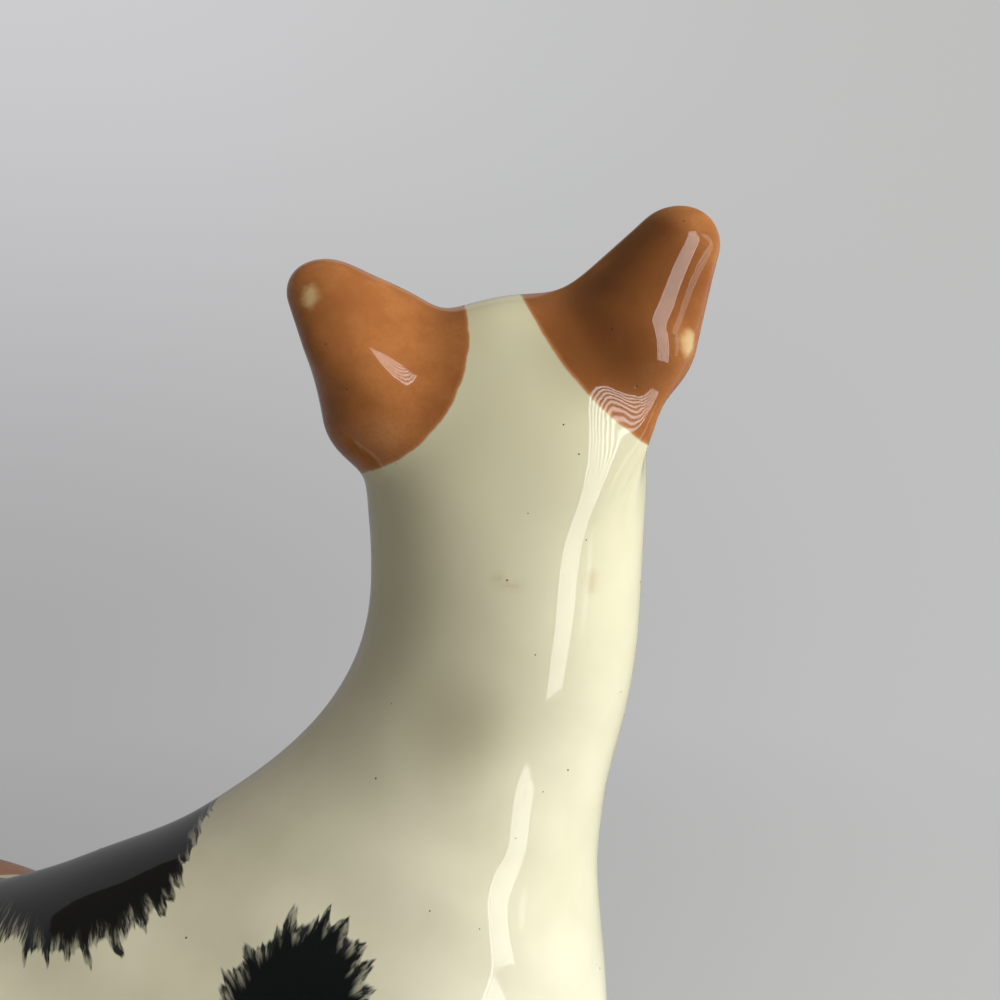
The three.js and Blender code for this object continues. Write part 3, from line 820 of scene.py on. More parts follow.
@dataclass(frozen=True)
class Coat:
    """Where the colours of the coat lie on the figure, and where shade is painted on it."""

    left_ear: tuple[float, float, float, float] = (-22.0, 143.0, 17.6, 19.3)
    right_ear: tuple[float, float, float, float] = (38.0, 166.0, 37.4, 42.9)
    mask_growth: float = 3.2
    mask_start: float = 4.0
    mask_run: float = 10.0
    mask_floor: float = 112.0
    saddle: Point = (-72.0, -14.0, 79.8)
    saddle_size: Point = (56.0, 66.0, 42.0)
    saddle_corner: float = 13.0
    saddle_tilt: float = -6.0
    saddle_girth: float = 30.0
    rump: Spot = ((-94.0, -3.0, 56.0), (46.0, 46.0, 40.0))
    shoulder: Spot = ((-25.5, -27.0, 50.0), (22.0, 30.0, 30.0))
    far_shoulder: Spot = ((-38.0, 26.0, 49.0), (34.0, 34.0, 24.0))
    far_arm: Spot = ((-27.0, 26.0, 40.0), (22.0, 34.0, 26.0))
    girths: tuple[float, ...] = (20.0, 13.0, 15.0, 12.0)
    girth_gap: float = 300.0
    haunch: Spot = ((-96.0, 38.0, 40.0), (70.0, 64.0, 60.0))
    slow_wave: float = 2.4
    slow_lengths: Pair = (7.0, 8.0)
    slow_starts: Pair = (0.4, 1.1)
    quick_wave: float = 0.9
    quick_lengths: Pair = (3.1, 2.7)
    tail_margin: float = 0.4
    eye_margin: float = 0.25
    nose_margin: float = 0.3
    lip_margin: float = 0.25
    bare_height: float = 0.5
    bare_depth: float = 1.0
    clear: float = 9.0
    worn: tuple[Spot, ...] = (
        ((-27.0, -13.4, 149.2), (3.0, 5.0, 4.6)),
        ((27.1, -10.6, 142.4), (3.0, 5.0, 4.0)),
    )
    # Spots of painted shade: the back of the right ear, which faces away from the lamps, and the foot of
    # the neck.
    painted_shades: tuple[Spot, ...] = (
        ((14.0, -11.0, 145.0), (22.0, 24.0, 26.0)),
        ((22.0, -10.0, 154.0), (18.0, 24.0, 20.0)),
        ((-5.5, -19.5, 89.0), (14.0, 16.0, 14.0)),
    )
    stains: tuple[Spot, ...] = (
        ((-0.4, -18.0, 109.4), (2.2, 8.0, 1.6)),
        ((1.5, -18.2, 108.3), (3.6, 8.0, 1.2)),
        ((12.8, -15.2, 108.6), (2.0, 8.0, 3.4)),
    )

    def haunch_patch(self, places: Places) -> np.ndarray:
        """Distance from the tan patch on the far haunch, which has a wavy edge."""
        x, z = places[:, 0], places[:, 2]
        (along, up), (shift, lift) = self.slow_lengths, self.slow_starts
        waves = self.slow_wave * np.sin(x / along + shift) * np.sin(z / up + lift)
        along, up = self.quick_lengths
        return lump(*self.haunch)(places) + (waves + self.quick_wave * np.sin(x / along + z / up))

    def spots(self, places: Places, spots: Sequence[Spot]) -> np.ndarray:
        """Distance from the nearest of some spots."""
        return np.minimum.reduce([lump(*spot)(places) for spot in spots])

    def ears(self, places: Places) -> np.ndarray:
        """Distance from the tan of the ears, which spreads to a mask on the face."""
        ears = np.minimum(self.oval(places, self.left_ear), self.oval(places, self.right_ear))
        ears -= self.mask_growth * np.clip((places[:, 1] - self.mask_start) / self.mask_run, 0.0, 1.0)
        return np.where(places[:, 2] > self.mask_floor, ears, self.clear)

    def oval(self, places: Places, oval: tuple[float, float, float, float]) -> np.ndarray:
        """Distance from an upright oval seen from the side."""
        reach = np.hypot((places[:, 0] - oval[0]) / oval[2], (places[:, 2] - oval[1]) / oval[3])
        return (reach - 1.0) * math.sqrt(oval[2] * oval[3])

    def patches(self) -> list[Patch]:
        """The black patches."""
        tilt = turned(Axis.Y, self.saddle_tilt)
        saddle = slab(self.saddle, self.saddle_size, self.saddle_corner, tilt)
        spots = (self.rump, self.shoulder, self.far_shoulder, self.far_arm)
        others = (Patch(lump(*spot), spot[0], girth) for spot, girth in zip(spots, self.girths))
        return [Patch(saddle, self.saddle, self.saddle_girth), *others]

    def black(self, places: Places) -> tuple[np.ndarray, np.ndarray]:
        """Distance from the black patches, and the way along the edge of the nearest one."""
        edge = np.full(len(places), np.inf, np.float32)
        along = np.zeros(len(places), np.float32)
        for index, patch in enumerate(self.patches()):
            distance = patch.form(places)
            angle = np.arctan2(places[:, 2] - patch.heart[2], places[:, 0] - patch.heart[0])
            nearer = distance < edge
            edge = np.where(nearer, distance, edge)
            along = np.where(nearer, angle * patch.girth + self.girth_gap * index, along)
        return edge, along


@dataclass(frozen=True)
class Luted:
    """A casting joined to the body with slip: its form, the slip's fillet and the box it lies in."""

    form: Form
    fillet: float
    low: Point
    high: Point

    def boxed(self) -> Form:
        """The casting's form, worked out only in its box."""
        return within(self.form, self.low, self.high)


@dataclass
class Figure:
    """The whole dog as one form, and the forms of its castings."""

    trunk: Trunk = field(default_factory=Trunk)
    neck: Neck = field(default_factory=Neck)
    head: Head = field(default_factory=Head)
    tail: Tail = field(default_factory=Tail)
    foot: Foot = field(default_factory=Foot)
    coat: Coat = field(default_factory=Coat)
    face_low: Point = (-34.0, -2.0, 100.0)
    face_high: Point = (42.0, 70.0, 165.0)
    wobble: float = 0.06
    wobble_length: float = 30.0
    ripple: float = 0.14
    ripple_length: float = 17.0
    ripple_top: float = 92.0
    ripple_fade: float = 20.0
    margin: float = 4.0

    def __post_init__(self) -> None:
        """Make the pieces that come in pairs and join all forms."""
        trunk, neck, head = self.trunk, self.neck, self.head
        forelegs = [Foreleg(side, trunk=trunk).form() for side in Side]
        hind_feet = [HindFoot(side).form() for side in Side]
        torso = blend(neck.softness, trunk.barrel(), neck.column(), neck.crest())
        headed = carve(neck.nape_softness, blend(head.softness, torso, head.mass()), neck.behind_nape)
        hipped = blend(trunk.haunch_softness, headed, *trunk.haunches())
        self.core = blend(trunk.shoulder_softness, hipped, *trunk.shoulders())
        self.luted = {
            "left_ear": Luted(left_ear(head).form(), 11.0, (-60.0, -34.0, 98.0), (24.0, 38.0, 190.0)),
            "right_ear": Luted(right_ear(head).form(), 8.0, (-20.0, -34.0, 98.0), (64.0, 38.0, 190.0)),
            "left_foreleg": Luted(forelegs[0], 6.0, (-50.0, -6.0, -9.0), (80.0, 56.0, 44.0)),
            "right_foreleg": Luted(forelegs[1], 6.0, (-50.0, -56.0, -9.0), (80.0, 6.0, 44.0)),
            "left_hind_foot": Luted(hind_feet[0], 5.0, (-130.0, 12.0, -9.0), (-40.0, 70.0, 36.0)),
            "right_hind_foot": Luted(hind_feet[1], 5.0, (-130.0, -70.0, -9.0), (-40.0, -12.0, 36.0)),
            "tail": Luted(self.tail.form(), 4.0, (-160.0, -24.0, -9.0), (-50.0, 80.0, 44.0)),
        }
        joined = within(head.with_features(self.core), self.face_low, self.face_high, self.core)
        for casting in self.luted.values():
            joined = blend(casting.fillet, joined, casting.boxed())
        self.outside = joined
        self.hollow = self.foot.hollow(self.core)

    def unevenness(self, places: Places) -> np.ndarray:
        """The slow waviness of a hand-finished casting.

        The bare factors only keep the waves from lining up.
        """
        x, y, z = (places * (2.0 * math.pi / self.wobble_length)).T
        waves = np.sin(x + 0.7 * np.sin(z)) * np.sin(z * 0.8 + 1.3)
        waves = waves + np.sin(y * 0.9 + 0.5 * x) * np.sin(z * 0.5)
        pace = 2.0 * math.pi / self.ripple_length
        aside, up = (places[:, 0] + 0.7 * places[:, 1]) * pace, places[:, 2] * pace
        ripples = np.sin(0.64 * aside + 0.4 * np.sin(0.3 * up)) * np.sin(up + 0.8 * np.sin(0.2 * aside))
        low = np.clip((self.ripple_top - places[:, 2]) / self.ripple_fade, 0.0, 1.0)
        return self.wobble * waves + self.ripple * low * ripples

    def solid(self, places: Places) -> np.ndarray:
        """The figure with its flat foot and without its hollow."""
        outside = self.outside(places) + self.unevenness(places)
        return -meet(-outside, places[:, 2], self.foot.edge_softness)

    def seam(self, name: str) -> Form:
        """Where a luted casting ends: negative on the casting and positive on its neighbours."""
        casting = self.luted[name]

        def apart(places: Places) -> np.ndarray:
            others = self.core(places)
            if name == "tail":
                others = np.minimum(others, self.luted["left_hind_foot"].form(places))
            return casting.form(places) - others

        return within(apart, casting.low, casting.high)

    def paints(self, places: Places) -> dict[Paint, np.ndarray]:
        """The glaze attributes at places on the surface.

        Args:
            places: Rows of places.

        Returns:
            A distance in millimetres for each attribute.
        """
        coat, head = self.coat, self.head
        tail = self.luted["tail"].boxed()(places) - coat.tail_margin
        black, along = coat.black(places)
        eyes = np.minimum(*(head.eyeball(hand)(places) for hand in HANDS)) - coat.eye_margin
        nose = head.nose_tip()(places) - coat.nose_margin
        lips = head.mouth_line()(places) - coat.lip_margin
        inside = np.where(self.solid(places) < -coat.bare_depth, -coat.bare_depth, coat.clear)
        return {
            Paint.TAN: np.minimum(coat.ears(places), np.minimum(coat.haunch_patch(places), tail)),
            Paint.BLACK: black,
            Paint.BLACK_ALONG: along,
            Paint.FEATURE: np.minimum(np.minimum(eyes, nose), lips),
            Paint.WORN: coat.spots(places, coat.worn),
            # Painted shade spots.
            Paint.PAINTED_SHADE: coat.spots(places, coat.painted_shades),
            Paint.STAIN: coat.spots(places, coat.stains),
            Paint.BARE: np.minimum(places[:, 2] - coat.bare_height, inside),
        }

    @property
    def box(self) -> tuple[np.ndarray, np.ndarray]:
        """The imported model's box in the figure's own frame, with room around it."""
        names = (BODY_NODE, HEAD_NODE, *self.luted)
        corners = np.array([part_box(name) for name in names], np.float32) / MM
        corners -= vector((ORIGIN_SETBACK, 0.0, 0.0))
        return corners[:, 0].min(0) - self.margin, corners[:, 1].max(0) + self.margin


# From forms to meshes


@dataclass
class Skin:
    """A surface of triangles, with a name of a casting for each."""

    places: Places
    triangles: np.ndarray
    owner: np.ndarray

    @classmethod
    def unowned(cls, places: Places, triangles: np.ndarray) -> "Skin":
        """A surface whose triangles belong to no casting yet."""
        return cls(places, triangles, np.full(len(triangles), "", object))

    def part(self, name: str) -> tuple[Places, np.ndarray]:
        """The places and triangles of one casting."""
        used, triangles = np.unique(self.triangles[self.owner == name], return_inverse=True)
        return self.places[used], triangles.reshape(-1, 3)


@dataclass(frozen=True)
class Sculptor:
    """Finds the surface of a form on a grid that is fine only near the surface."""

    pitch: float
    block: int = 8
    reach: float = 1.7
    batch: int = 96
    probe: float = 0.1
    least_steepness: float = 0.25

    def sampled(self, form: Form, places: Places) -> np.ndarray:
        """A form's values at many places, worked out in batches."""
        count = self.batch * self.block**3
        return np.concatenate([form(places[i:i + count]) for i in range(0, len(places), count)])

    def skin(self, form: Form, low: np.ndarray, high: np.ndarray) -> Skin:
        """The surface of a form.

        Args:
            form: The form.
            low: Lowest corner of the box that holds it.
            high: Highest corner of the box.

        Returns:
            The surface, as triangles that belong to no casting yet.
        """
        step = self.pitch * self.block
        counts = np.ceil((high - low) / step).astype(int)
        blocks = np.stack(np.meshgrid(*(np.arange(n) for n in counts), indexing="ij"), -1).reshape(-1, 3)
        coarse = self.sampled(form, (low + (blocks + 0.5) * step).astype(np.float32))
        values = coarse.reshape(counts)
        for axis in range(3):
            values = np.repeat(values, self.block, axis)
        inner = np.stack(np.meshgrid(*[np.arange(self.block)] * 3, indexing="ij"), -1).reshape(-1, 3)
        near = blocks[np.abs(coarse) < step * math.sqrt(3.0) / 2.0 * self.reach]
        for start in range(0, len(near), self.batch):
            cells = (near[start:start + self.batch, None] * self.block + inner[None]).reshape(-1, 3)
            values[tuple(cells.T)] = form((low + cells * self.pitch).astype(np.float32))
        grid = openvdb.FloatGrid(step)
        grid.copyFromArray(np.ascontiguousarray(values, np.float32))
        points, quads = grid.convertToQuads(0.0)
        places = (low + points * self.pitch).astype(np.float32)
        places = self.settled(form, places)
        return Skin.unowned(places, self.split(places, np.asarray(quads, np.int64)))

    def slope(self, form: Form, places: Places) -> tuple[np.ndarray, np.ndarray]:
        """A form's gradient and value at places, from four probes round each."""
        gradient = np.zeros_like(places)
        total = np.zeros(len(places), np.float32)
        for corner in ((1, -1, -1), (-1, -1, 1), (-1, 1, -1), (1, 1, 1)):
            way = vector(corner)
            value = self.sampled(form, places + way * self.probe)
            gradient += value[:, None] * way
            total += value
        return gradient / (4.0 * self.probe), total / 4.0

    def settled(self, form: Form, places: Places) -> Places:
        """Places moved onto the surface, by no more than a third of the grid's pitch."""
        gradient, value = self.slope(form, places)
        steep = np.maximum(np.einsum("ij,ij->i", gradient, gradient), self.least_steepness)
        move = gradient * (value / steep)[:, None]
        length = np.maximum(np.linalg.norm(move, axis=1), NO_SLOPE)
        move *= np.minimum(1.0, self.pitch / 3.0 / length)[:, None]
        return places - move

    def split(self, places: Places, quads: np.ndarray) -> np.ndarray:
        """Quads as triangles, cut along the shorter diagonal."""
        a, b, c, d = quads.T
        one, other = (np.linalg.norm(places[p] - places[q], axis=1) for p, q in ((a, c), (b, d)))
        shorter = (one < other)[:, None]
        first = np.where(shorter, np.stack((a, b, c), 1), np.stack((a, b, d), 1))
        second = np.where(shorter, np.stack((a, c, d), 1), np.stack((b, c, d), 1))
        return np.concatenate((first, second))

    def normals(self, form: Form, places: Places) -> np.ndarray:
        """Unit normals of a form at places."""
        gradient, _ = self.slope(form, places)
        return gradient / np.maximum(np.linalg.norm(gradient, axis=1, keepdims=True), NO_SLOPE)


def scored(skin: Skin, values: np.ndarray, name: str) -> Skin:
    """A surface cut along the line where values change sign, with the negative part given to a casting.

    Args:
        skin: The surface. Only triangles with no owner are cut.
        values: A value for each place of the surface.
        name: The casting that takes the negative part.

    Returns:
        The cut surface.
    """
    negative = values[skin.triangles] < 0.0
    free = skin.owner == ""
    count = negative.sum(1)
    crossed = free & (count > 0) & (count < 3)
    kept = skin.triangles[~crossed]
    kept_owner = skin.owner[~crossed].copy()
    kept_owner[(free & (count == 3))[~crossed]] = name
    cut = skin.triangles[crossed]
    lone_is_negative = count[crossed] == 1
    lone = np.argmax(negative[crossed] == lone_is_negative[:, None], axis=1)
    rows = np.arange(len(cut))
    a, b, c = cut[rows, lone], cut[rows, (lone + 1) % 3], cut[rows, (lone + 2) % 3]
    ends = np.sort(np.concatenate((np.stack((a, b), 1), np.stack((a, c), 1))), axis=1)
    edges, back = np.unique(ends, axis=0, return_inverse=True)
    back = back.reshape(-1) + len(skin.places)
    start, stop = values[edges[:, 0]], values[edges[:, 1]]
    share = (start / (start - stop))[:, None]
    fresh = skin.places[edges[:, 0]] * (1.0 - share) + skin.places[edges[:, 1]] * share
    ab, ac = back[:len(cut)], back[len(cut):]
    tips = np.stack((a, ab, ac), 1)
    stumps = np.concatenate((np.stack((ab, b, c), 1), np.stack((ab, c, ac), 1)))
    tip_owner = np.where(lone_is_negative, name, "").astype(object)
    stump_owner = np.tile(np.where(lone_is_negative, "", name).astype(object), 2)
    return Skin(
        np.concatenate((skin.places, fresh.astype(np.float32))),
        np.concatenate((kept, tips, stumps)),
        np.concatenate((kept_owner, tip_owner, stump_owner)),
    )


def rims(triangles: np.ndarray, size: int) -> list[list[int]]:
    """The open rims of a surface.

    Args:
        triangles: The surface's triangles.
        size: The number of its places.

    Returns:
        Loops of places, each in the direction of its triangles' edges.
    """
    edges = np.concatenate((triangles[:, [0, 1]], triangles[:, [1, 2]], triangles[:, [2, 0]]))
    forward = edges[:, 0] * size + edges[:, 1]
    backward = edges[:, 1] * size + edges[:, 0]
    following: dict[int, list[int]] = {}
    for start, stop in edges[~np.isin(forward, backward)].tolist():
        following.setdefault(start, []).append(stop)
    loops = []
    while following:
        loop = [next(iter(following))]
        while loop[-1] in following:
            stops = following[loop[-1]]
            loop.append(stops.pop())
            if not stops:
                del following[loop[-2]]
        loops.append(loop[:-1])
    return loops


def closed(places: Places, triangles: np.ndarray) -> tuple[Places, np.ndarray]:
    """A piece of a surface with a cap over each of its open rims.

    Args:
        places: Places of the piece.
        triangles: Its triangles.

    Returns:
        The places and triangles with the caps' own.
    """
    hubs, caps = [places], [triangles]
    hub = len(places)
    for loop in rims(triangles, len(places)):
        start, stop = np.array(loop), np.roll(loop, -1)
        hubs.append(places[loop].mean(0, keepdims=True))
        caps.append(np.stack((stop, start, np.full(len(loop), hub)), 1))
        hub += 1
    return np.concatenate(hubs), np.concatenate(caps)


def lined(
    places: Places, triangles: np.ndarray, inner: Places, lining: np.ndarray
) -> tuple[Places, np.ndarray]:
    """A surface and its lining, each with one open rim, joined by a strip between the rims.

    Args:
        places: Places of the surface.
        triangles: Its triangles.
        inner: Places of the lining.
        lining: Its triangles, which face into the hollow.

    Returns:
        The places and triangles of both.
    """
    outline = rims(triangles, len(places))[0]
    seam = [index + len(places) for index in reversed(rims(lining, len(inner))[0])]
    both = np.concatenate((places, inner))
    middle = places[outline].mean(0)
    first = both[outline[0]] - middle

    def turns(loop: list[int]) -> list[float]:
        offset = both[loop] - middle
        return np.unwrap(np.arctan2(offset[:, 1], offset[:, 0])).tolist()

    start = int(np.argmin(np.linalg.norm(both[seam] - middle - first, axis=1)))
    seam = seam[start:] + seam[:start]
    outline, seam = outline + outline[:1], seam + seam[:1]
    ahead, behind = turns(outline), turns(seam)
    heading = math.copysign(1.0, ahead[-1] - ahead[0])
    strip = []
    here, there = 0, 0
    while here + 1 < len(outline) or there + 1 < len(seam):
        on_outline = there + 1 == len(seam)
        if here + 1 < len(outline) and not on_outline:
            gain, other_gain = ahead[here + 1] - ahead[0], behind[there + 1] - behind[0]
            on_outline = heading * gain < heading * other_gain
        if on_outline:
            strip.append((outline[here + 1], outline[here], seam[there]))
            here += 1
        else:
            strip.append((outline[here], seam[there], seam[there + 1]))
            there += 1
    return both, np.concatenate((triangles, lining + len(places), np.array(strip)))


# Finishes


@dataclass(frozen=True)
class Finish:
    """Colours, in linear light, and gloss of the glazed and bare clay."""

    cream: Colour = (0.84, 0.800, 0.600)
    cream_above: Colour = (0.70, 0.650, 0.430)
    # Painted shade colour for the cream.
    cream_shade: Colour = (0.46, 0.425, 0.270)
    cream_pooled: Colour = (0.68, 0.645, 0.445)
    cream_warm: Colour = (0.80, 0.715, 0.480)
    tan: Colour = (0.42, 0.155, 0.045)
    tan_deep: Colour = (0.325, 0.112, 0.031)
    tan_light: Colour = (0.54, 0.225, 0.074)
    # Painted shade colour for the tan.
    tan_painted_shade: Colour = (0.17, 0.056, 0.014)
    black: Colour = (0.006, 0.007, 0.007)
    black_thin: Colour = (0.045, 0.047, 0.042)
    worn: Colour = (0.62, 0.42, 0.20)
    stain: Colour = (0.56, 0.43, 0.22)
    biscuit: Colour = (0.62, 0.50, 0.36)
    biscuit_deep: Colour = (0.50, 0.38, 0.26)
    pinhole: Colour = (0.10, 0.075, 0.05)
    gloss_roughness: float = 0.035
    gloss_change: float = 0.03
    bare_roughness: float = 0.85
    ior: float = 1.52


@dataclass(frozen=True)
class Mottle:
    """A cloudy pattern: its noise, the values between which it comes in, and its share at the most."""

    scale: float
    low: float
    high: float
    detail: float = 3.0
    rough: float = 0.5
    share: float = 1.0


class Nodes:
    """A short hand for a node tree."""

    def __init__(self, tree: bpy.types.NodeTree) -> None:
        """Take a tree to add to."""
        self.tree = tree

    def add(self, kind: str, inputs: dict | None = None, **settings: object) -> bpy.types.Node:
        """A node with its settings, and with its inputs set to values or linked to sockets."""
        node = self.tree.nodes.new(kind)
        for key, value in settings.items():
            setattr(node, key, value)
        for key, value in (inputs or {}).items():
            self.feed(node.inputs[key], value)
        return node

    def feed(self, socket: Socket, value: object) -> None:
        """Set an input to a value, or link it to an output."""
        if isinstance(value, Socket):
            self.tree.links.new(value, socket)
        elif isinstance(value, tuple) and socket.type == "RGBA":
            socket.default_value = (*value, 1.0)
        else:
            socket.default_value = value

    def math(self, operation: str, *values: object) -> Socket:
        """An operation on numbers."""
        return self.add("ShaderNodeMath", dict(enumerate(values)), operation=operation).outputs[0]

    def times(self, first: object, second: object) -> Socket:
        """A product."""
        return self.math("MULTIPLY", first, second)

    def plus(self, first: object, second: object) -> Socket:
        """A sum."""
        return self.math("ADD", first, second)

    def minus(self, first: object, second: object) -> Socket:
        """A difference."""
        return self.math("SUBTRACT", first, second)

    def above(self, value: object, ends: Pair, floor: float = 0.0) -> Socket:
        """A smooth step between two values, from a floor of zero or one to the other of these."""
        inputs = {"Value": value, "From Min": ends[0], "From Max": ends[1]}
        inputs |= {"To Min": floor, "To Max": 1.0 - floor}
        return self.add("ShaderNodeMapRange", inputs, interpolation_type="SMOOTHSTEP").outputs["Result"]

    def below(self, value: object, ends: Pair) -> Socket:
        """A smooth step between two values, down from one."""
        return self.above(value, ends, floor=1.0)

    def noise(self, place: object, scale: float, detail: float = 3.0, rough: float = 0.5) -> Socket:
        """A cloudy value between about 0.3 and 0.7."""
        inputs = {"Vector": place, "Scale": scale, "Detail": detail, "Roughness": rough}
        return self.add("ShaderNodeTexNoise", inputs).outputs["Fac"]

    def sway(self, place: object, scale: float, detail: float, reach: float) -> Socket:
        """A cloudy value round zero."""
        return self.times(self.minus(self.noise(place, scale, detail), 0.5), reach)

    def mottle(self, place: object, mottle: Mottle) -> Socket:
        """A cloudy pattern."""
        noise = self.noise(place, mottle.scale, mottle.detail, mottle.rough)
        share = self.above(noise, (mottle.low, mottle.high))
        return share if mottle.share == 1.0 else self.times(share, mottle.share)

    def mix(self, share: object, first: object, second: object, kind: str = "RGBA") -> Socket:
        """A mix of two colours or, with FLOAT as its kind, of two numbers."""
        node = self.add("ShaderNodeMix", data_type=kind)
        start, output = (6, 2) if kind == "RGBA" else (2, 0)
        for index, value in ((0, share), (start, first), (start + 1, second)):
            self.feed(node.inputs[index], value)
        return node.outputs[output]


class MaterialNodes(Nodes):
    """The node tree of a new material."""

    def __init__(self, name: str) -> None:
        """Start a material with an empty tree."""
        self.material = bpy.data.materials.new(name)
        self.material.use_nodes = True
        super().__init__(self.material.node_tree)
        self.tree.nodes.clear()

    @property
    def place(self) -> Socket:
        """The place in the object's own frame."""
        return self.add("ShaderNodeTexCoord").outputs["Object"]

    def attribute(self, paint: Paint) -> Socket:
        """A surface attribute."""
        return self.add("ShaderNodeAttribute", attribute_name=paint.value).outputs["Fac"]

    def covered(self, shader: bpy.types.Node) -> bpy.types.Material:
        """The material, with a shader as its surface."""
        self.add("ShaderNodeOutputMaterial", {"Surface": shader.outputs[0]})
        return self.material


@dataclass(frozen=True)
class PaintedGlaze:
    """Cream glaze with tan and black underglaze paint, brush edges, wear, pinholes, a bare foot and painted
    shade in spots.
    """

    finish: Finish = Finish()
    height_fade: Pair = (0.05, 0.15)
    pooled_clouds: Mottle = Mottle(34.0, 0.35, 0.68, 4.0, 0.55, share=0.7)
    warm_clouds: Mottle = Mottle(14.0, 0.52, 0.75, 2.0)
    grain_scale: float = 900.0
    # Painted shade: how its spots fade in, and how far they darken the cream.
    painted_shade_fade: Pair = (-6.0, 4.0)
    cream_painted_shade_share: float = 0.7
    stain_fade: Pair = (-0.6, 1.6)
    stain_grain: float = 1.6
    stain_share: float = 0.42
    deep_clouds: Mottle = Mottle(120.0, 0.36, 0.66, 5.0, 0.62)
    light_clouds: Mottle = Mottle(55.0, 0.50, 0.72)
    speckle: Mottle = Mottle(1700.0, 0.46, 0.62, 2.0, 0.6, share=0.30)
    # Painted shade: how far its spots darken the tan.
    tan_painted_shade_share: float = 0.75
    worn_fade: Pair = (-0.5, 1.2)
    worn_grain: float = 1.2
    tan_sway: Point = (330.0, 4.0, 0.6)
    tan_rim: Pair = (-0.7, -0.1)
    tan_rim_share: float = 0.6
    tan_fade: Pair = (-0.2, 0.2)
    tuft_width: float = 2.1
    tuft_length: float = 2.7
    tuft_shift: float = 0.37
    hair_width: float = 0.7
    hair_length: float = 0.8
    hair_shift: float = 11.3
    stroke_point: float = 1.9
    stroke_randomness: float = 0.9
    stroke_slant: float = 0.25
    stroke_sway: Point = (260.0, 2.0, 1.2)
    black_sway: Point = (95.0, 2.0, 7.0)
    black_fade: Pair = (-0.28, 0.28)
    black_rim: Pair = (-2.6, -0.2)
    streak_stretch: float = 0.22
    streaks: Mottle = Mottle(1.3, 0.44, 0.60, 4.0, 0.6)
    dry_share: float = 0.55
    thin_share: float = 0.5
    feature_fade: Pair = (-0.12, 0.12)
    pit_scale: float = 210.0
    pit_fade: Pair = (0.035, 0.06)
    pit_chance: float = 0.80
    pit_share: float = 0.75
    pit_depth: float = 0.8
    bare_fade: Pair = (-0.3, 0.2)
    bare_clouds: Pair = (0.35, 0.65)
    bare_relief: float = 1.2
    ripple_scale: float = 150.0
    bump_strength: float = 0.35
    bump_height: float = 0.12 * MM

    def strokes(self, nodes: Nodes, along: object, width: float, length: float, shift: float) -> object:
        """Pointed strokes along an edge: how far the brush reached past it, in millimetres."""
        way = nodes.plus(nodes.math("DIVIDE", along, width), shift)
        inputs = {"W": way, "Scale": 1.0, "Randomness": self.stroke_randomness}
        cell = nodes.add("ShaderNodeTexVoronoi", inputs, voronoi_dimensions="1D").outputs
        point = nodes.minus(1.0, nodes.times(cell["Distance"], self.stroke_point))
        reach = nodes.add("ShaderNodeSeparateColor", {"Color": cell["Color"]}).outputs["Red"]
        return nodes.times(nodes.math("MAXIMUM", point, 0.0), nodes.times(reach, length))

    def cream(self, nodes: MaterialNodes, place: object, grain: object, painted_shade: object) -> object:
        """The colour of the clear glaze over the clay, darker and yellower higher up, with painted shade in
        the shade spots.
        """
        finish = self.finish
        height = nodes.add("ShaderNodeSeparateXYZ", {"Vector": place}).outputs["Z"]
        cream = nodes.mix(nodes.above(height, self.height_fade), finish.cream, finish.cream_above)
        cream = nodes.mix(nodes.mottle(place, self.pooled_clouds), cream, finish.cream_pooled)
        cream = nodes.mix(nodes.mottle(place, self.warm_clouds), cream, finish.cream_warm)
        # Painted shade in the shade spots.
        cream = nodes.mix(nodes.times(painted_shade, self.cream_painted_shade_share), cream, finish.cream_shade)
        stain = nodes.plus(nodes.attribute(Paint.STAIN), nodes.times(grain, self.stain_grain))
        share = nodes.times(nodes.below(stain, self.stain_fade), self.stain_share)
        return nodes.mix(share, cream, finish.stain)

    def tan_over(
        self, nodes: MaterialNodes, place: object, grain: object, painted_shade: object, cream: object
    ) -> object:
        """The colour with the tan paint, which is worn in places, thin at its edge and darkened by painted
        shade in the shade spots.
        """
        finish = self.finish
        tan = nodes.mix(nodes.mottle(place, self.deep_clouds), finish.tan, finish.tan_deep)
        tan = nodes.mix(nodes.mottle(place, self.light_clouds), tan, finish.tan_light)
        tan = nodes.mix(nodes.mottle(place, self.speckle), tan, finish.tan_deep)
        # Painted shade in the shade spots.
        tan = nodes.mix(nodes.times(painted_shade, self.tan_painted_shade_share), tan, finish.tan_painted_shade)
        worn = nodes.plus(nodes.attribute(Paint.WORN), nodes.times(grain, self.worn_grain))
        tan = nodes.mix(nodes.below(worn, self.worn_fade), tan, finish.worn)
        edge = nodes.plus(nodes.attribute(Paint.TAN), nodes.sway(place, *self.tan_sway))
        rim = nodes.times(nodes.above(edge, self.tan_rim), self.tan_rim_share)
        tan = nodes.mix(rim, tan, finish.tan_light)
        return nodes.mix(nodes.below(edge, self.tan_fade), cream, tan)

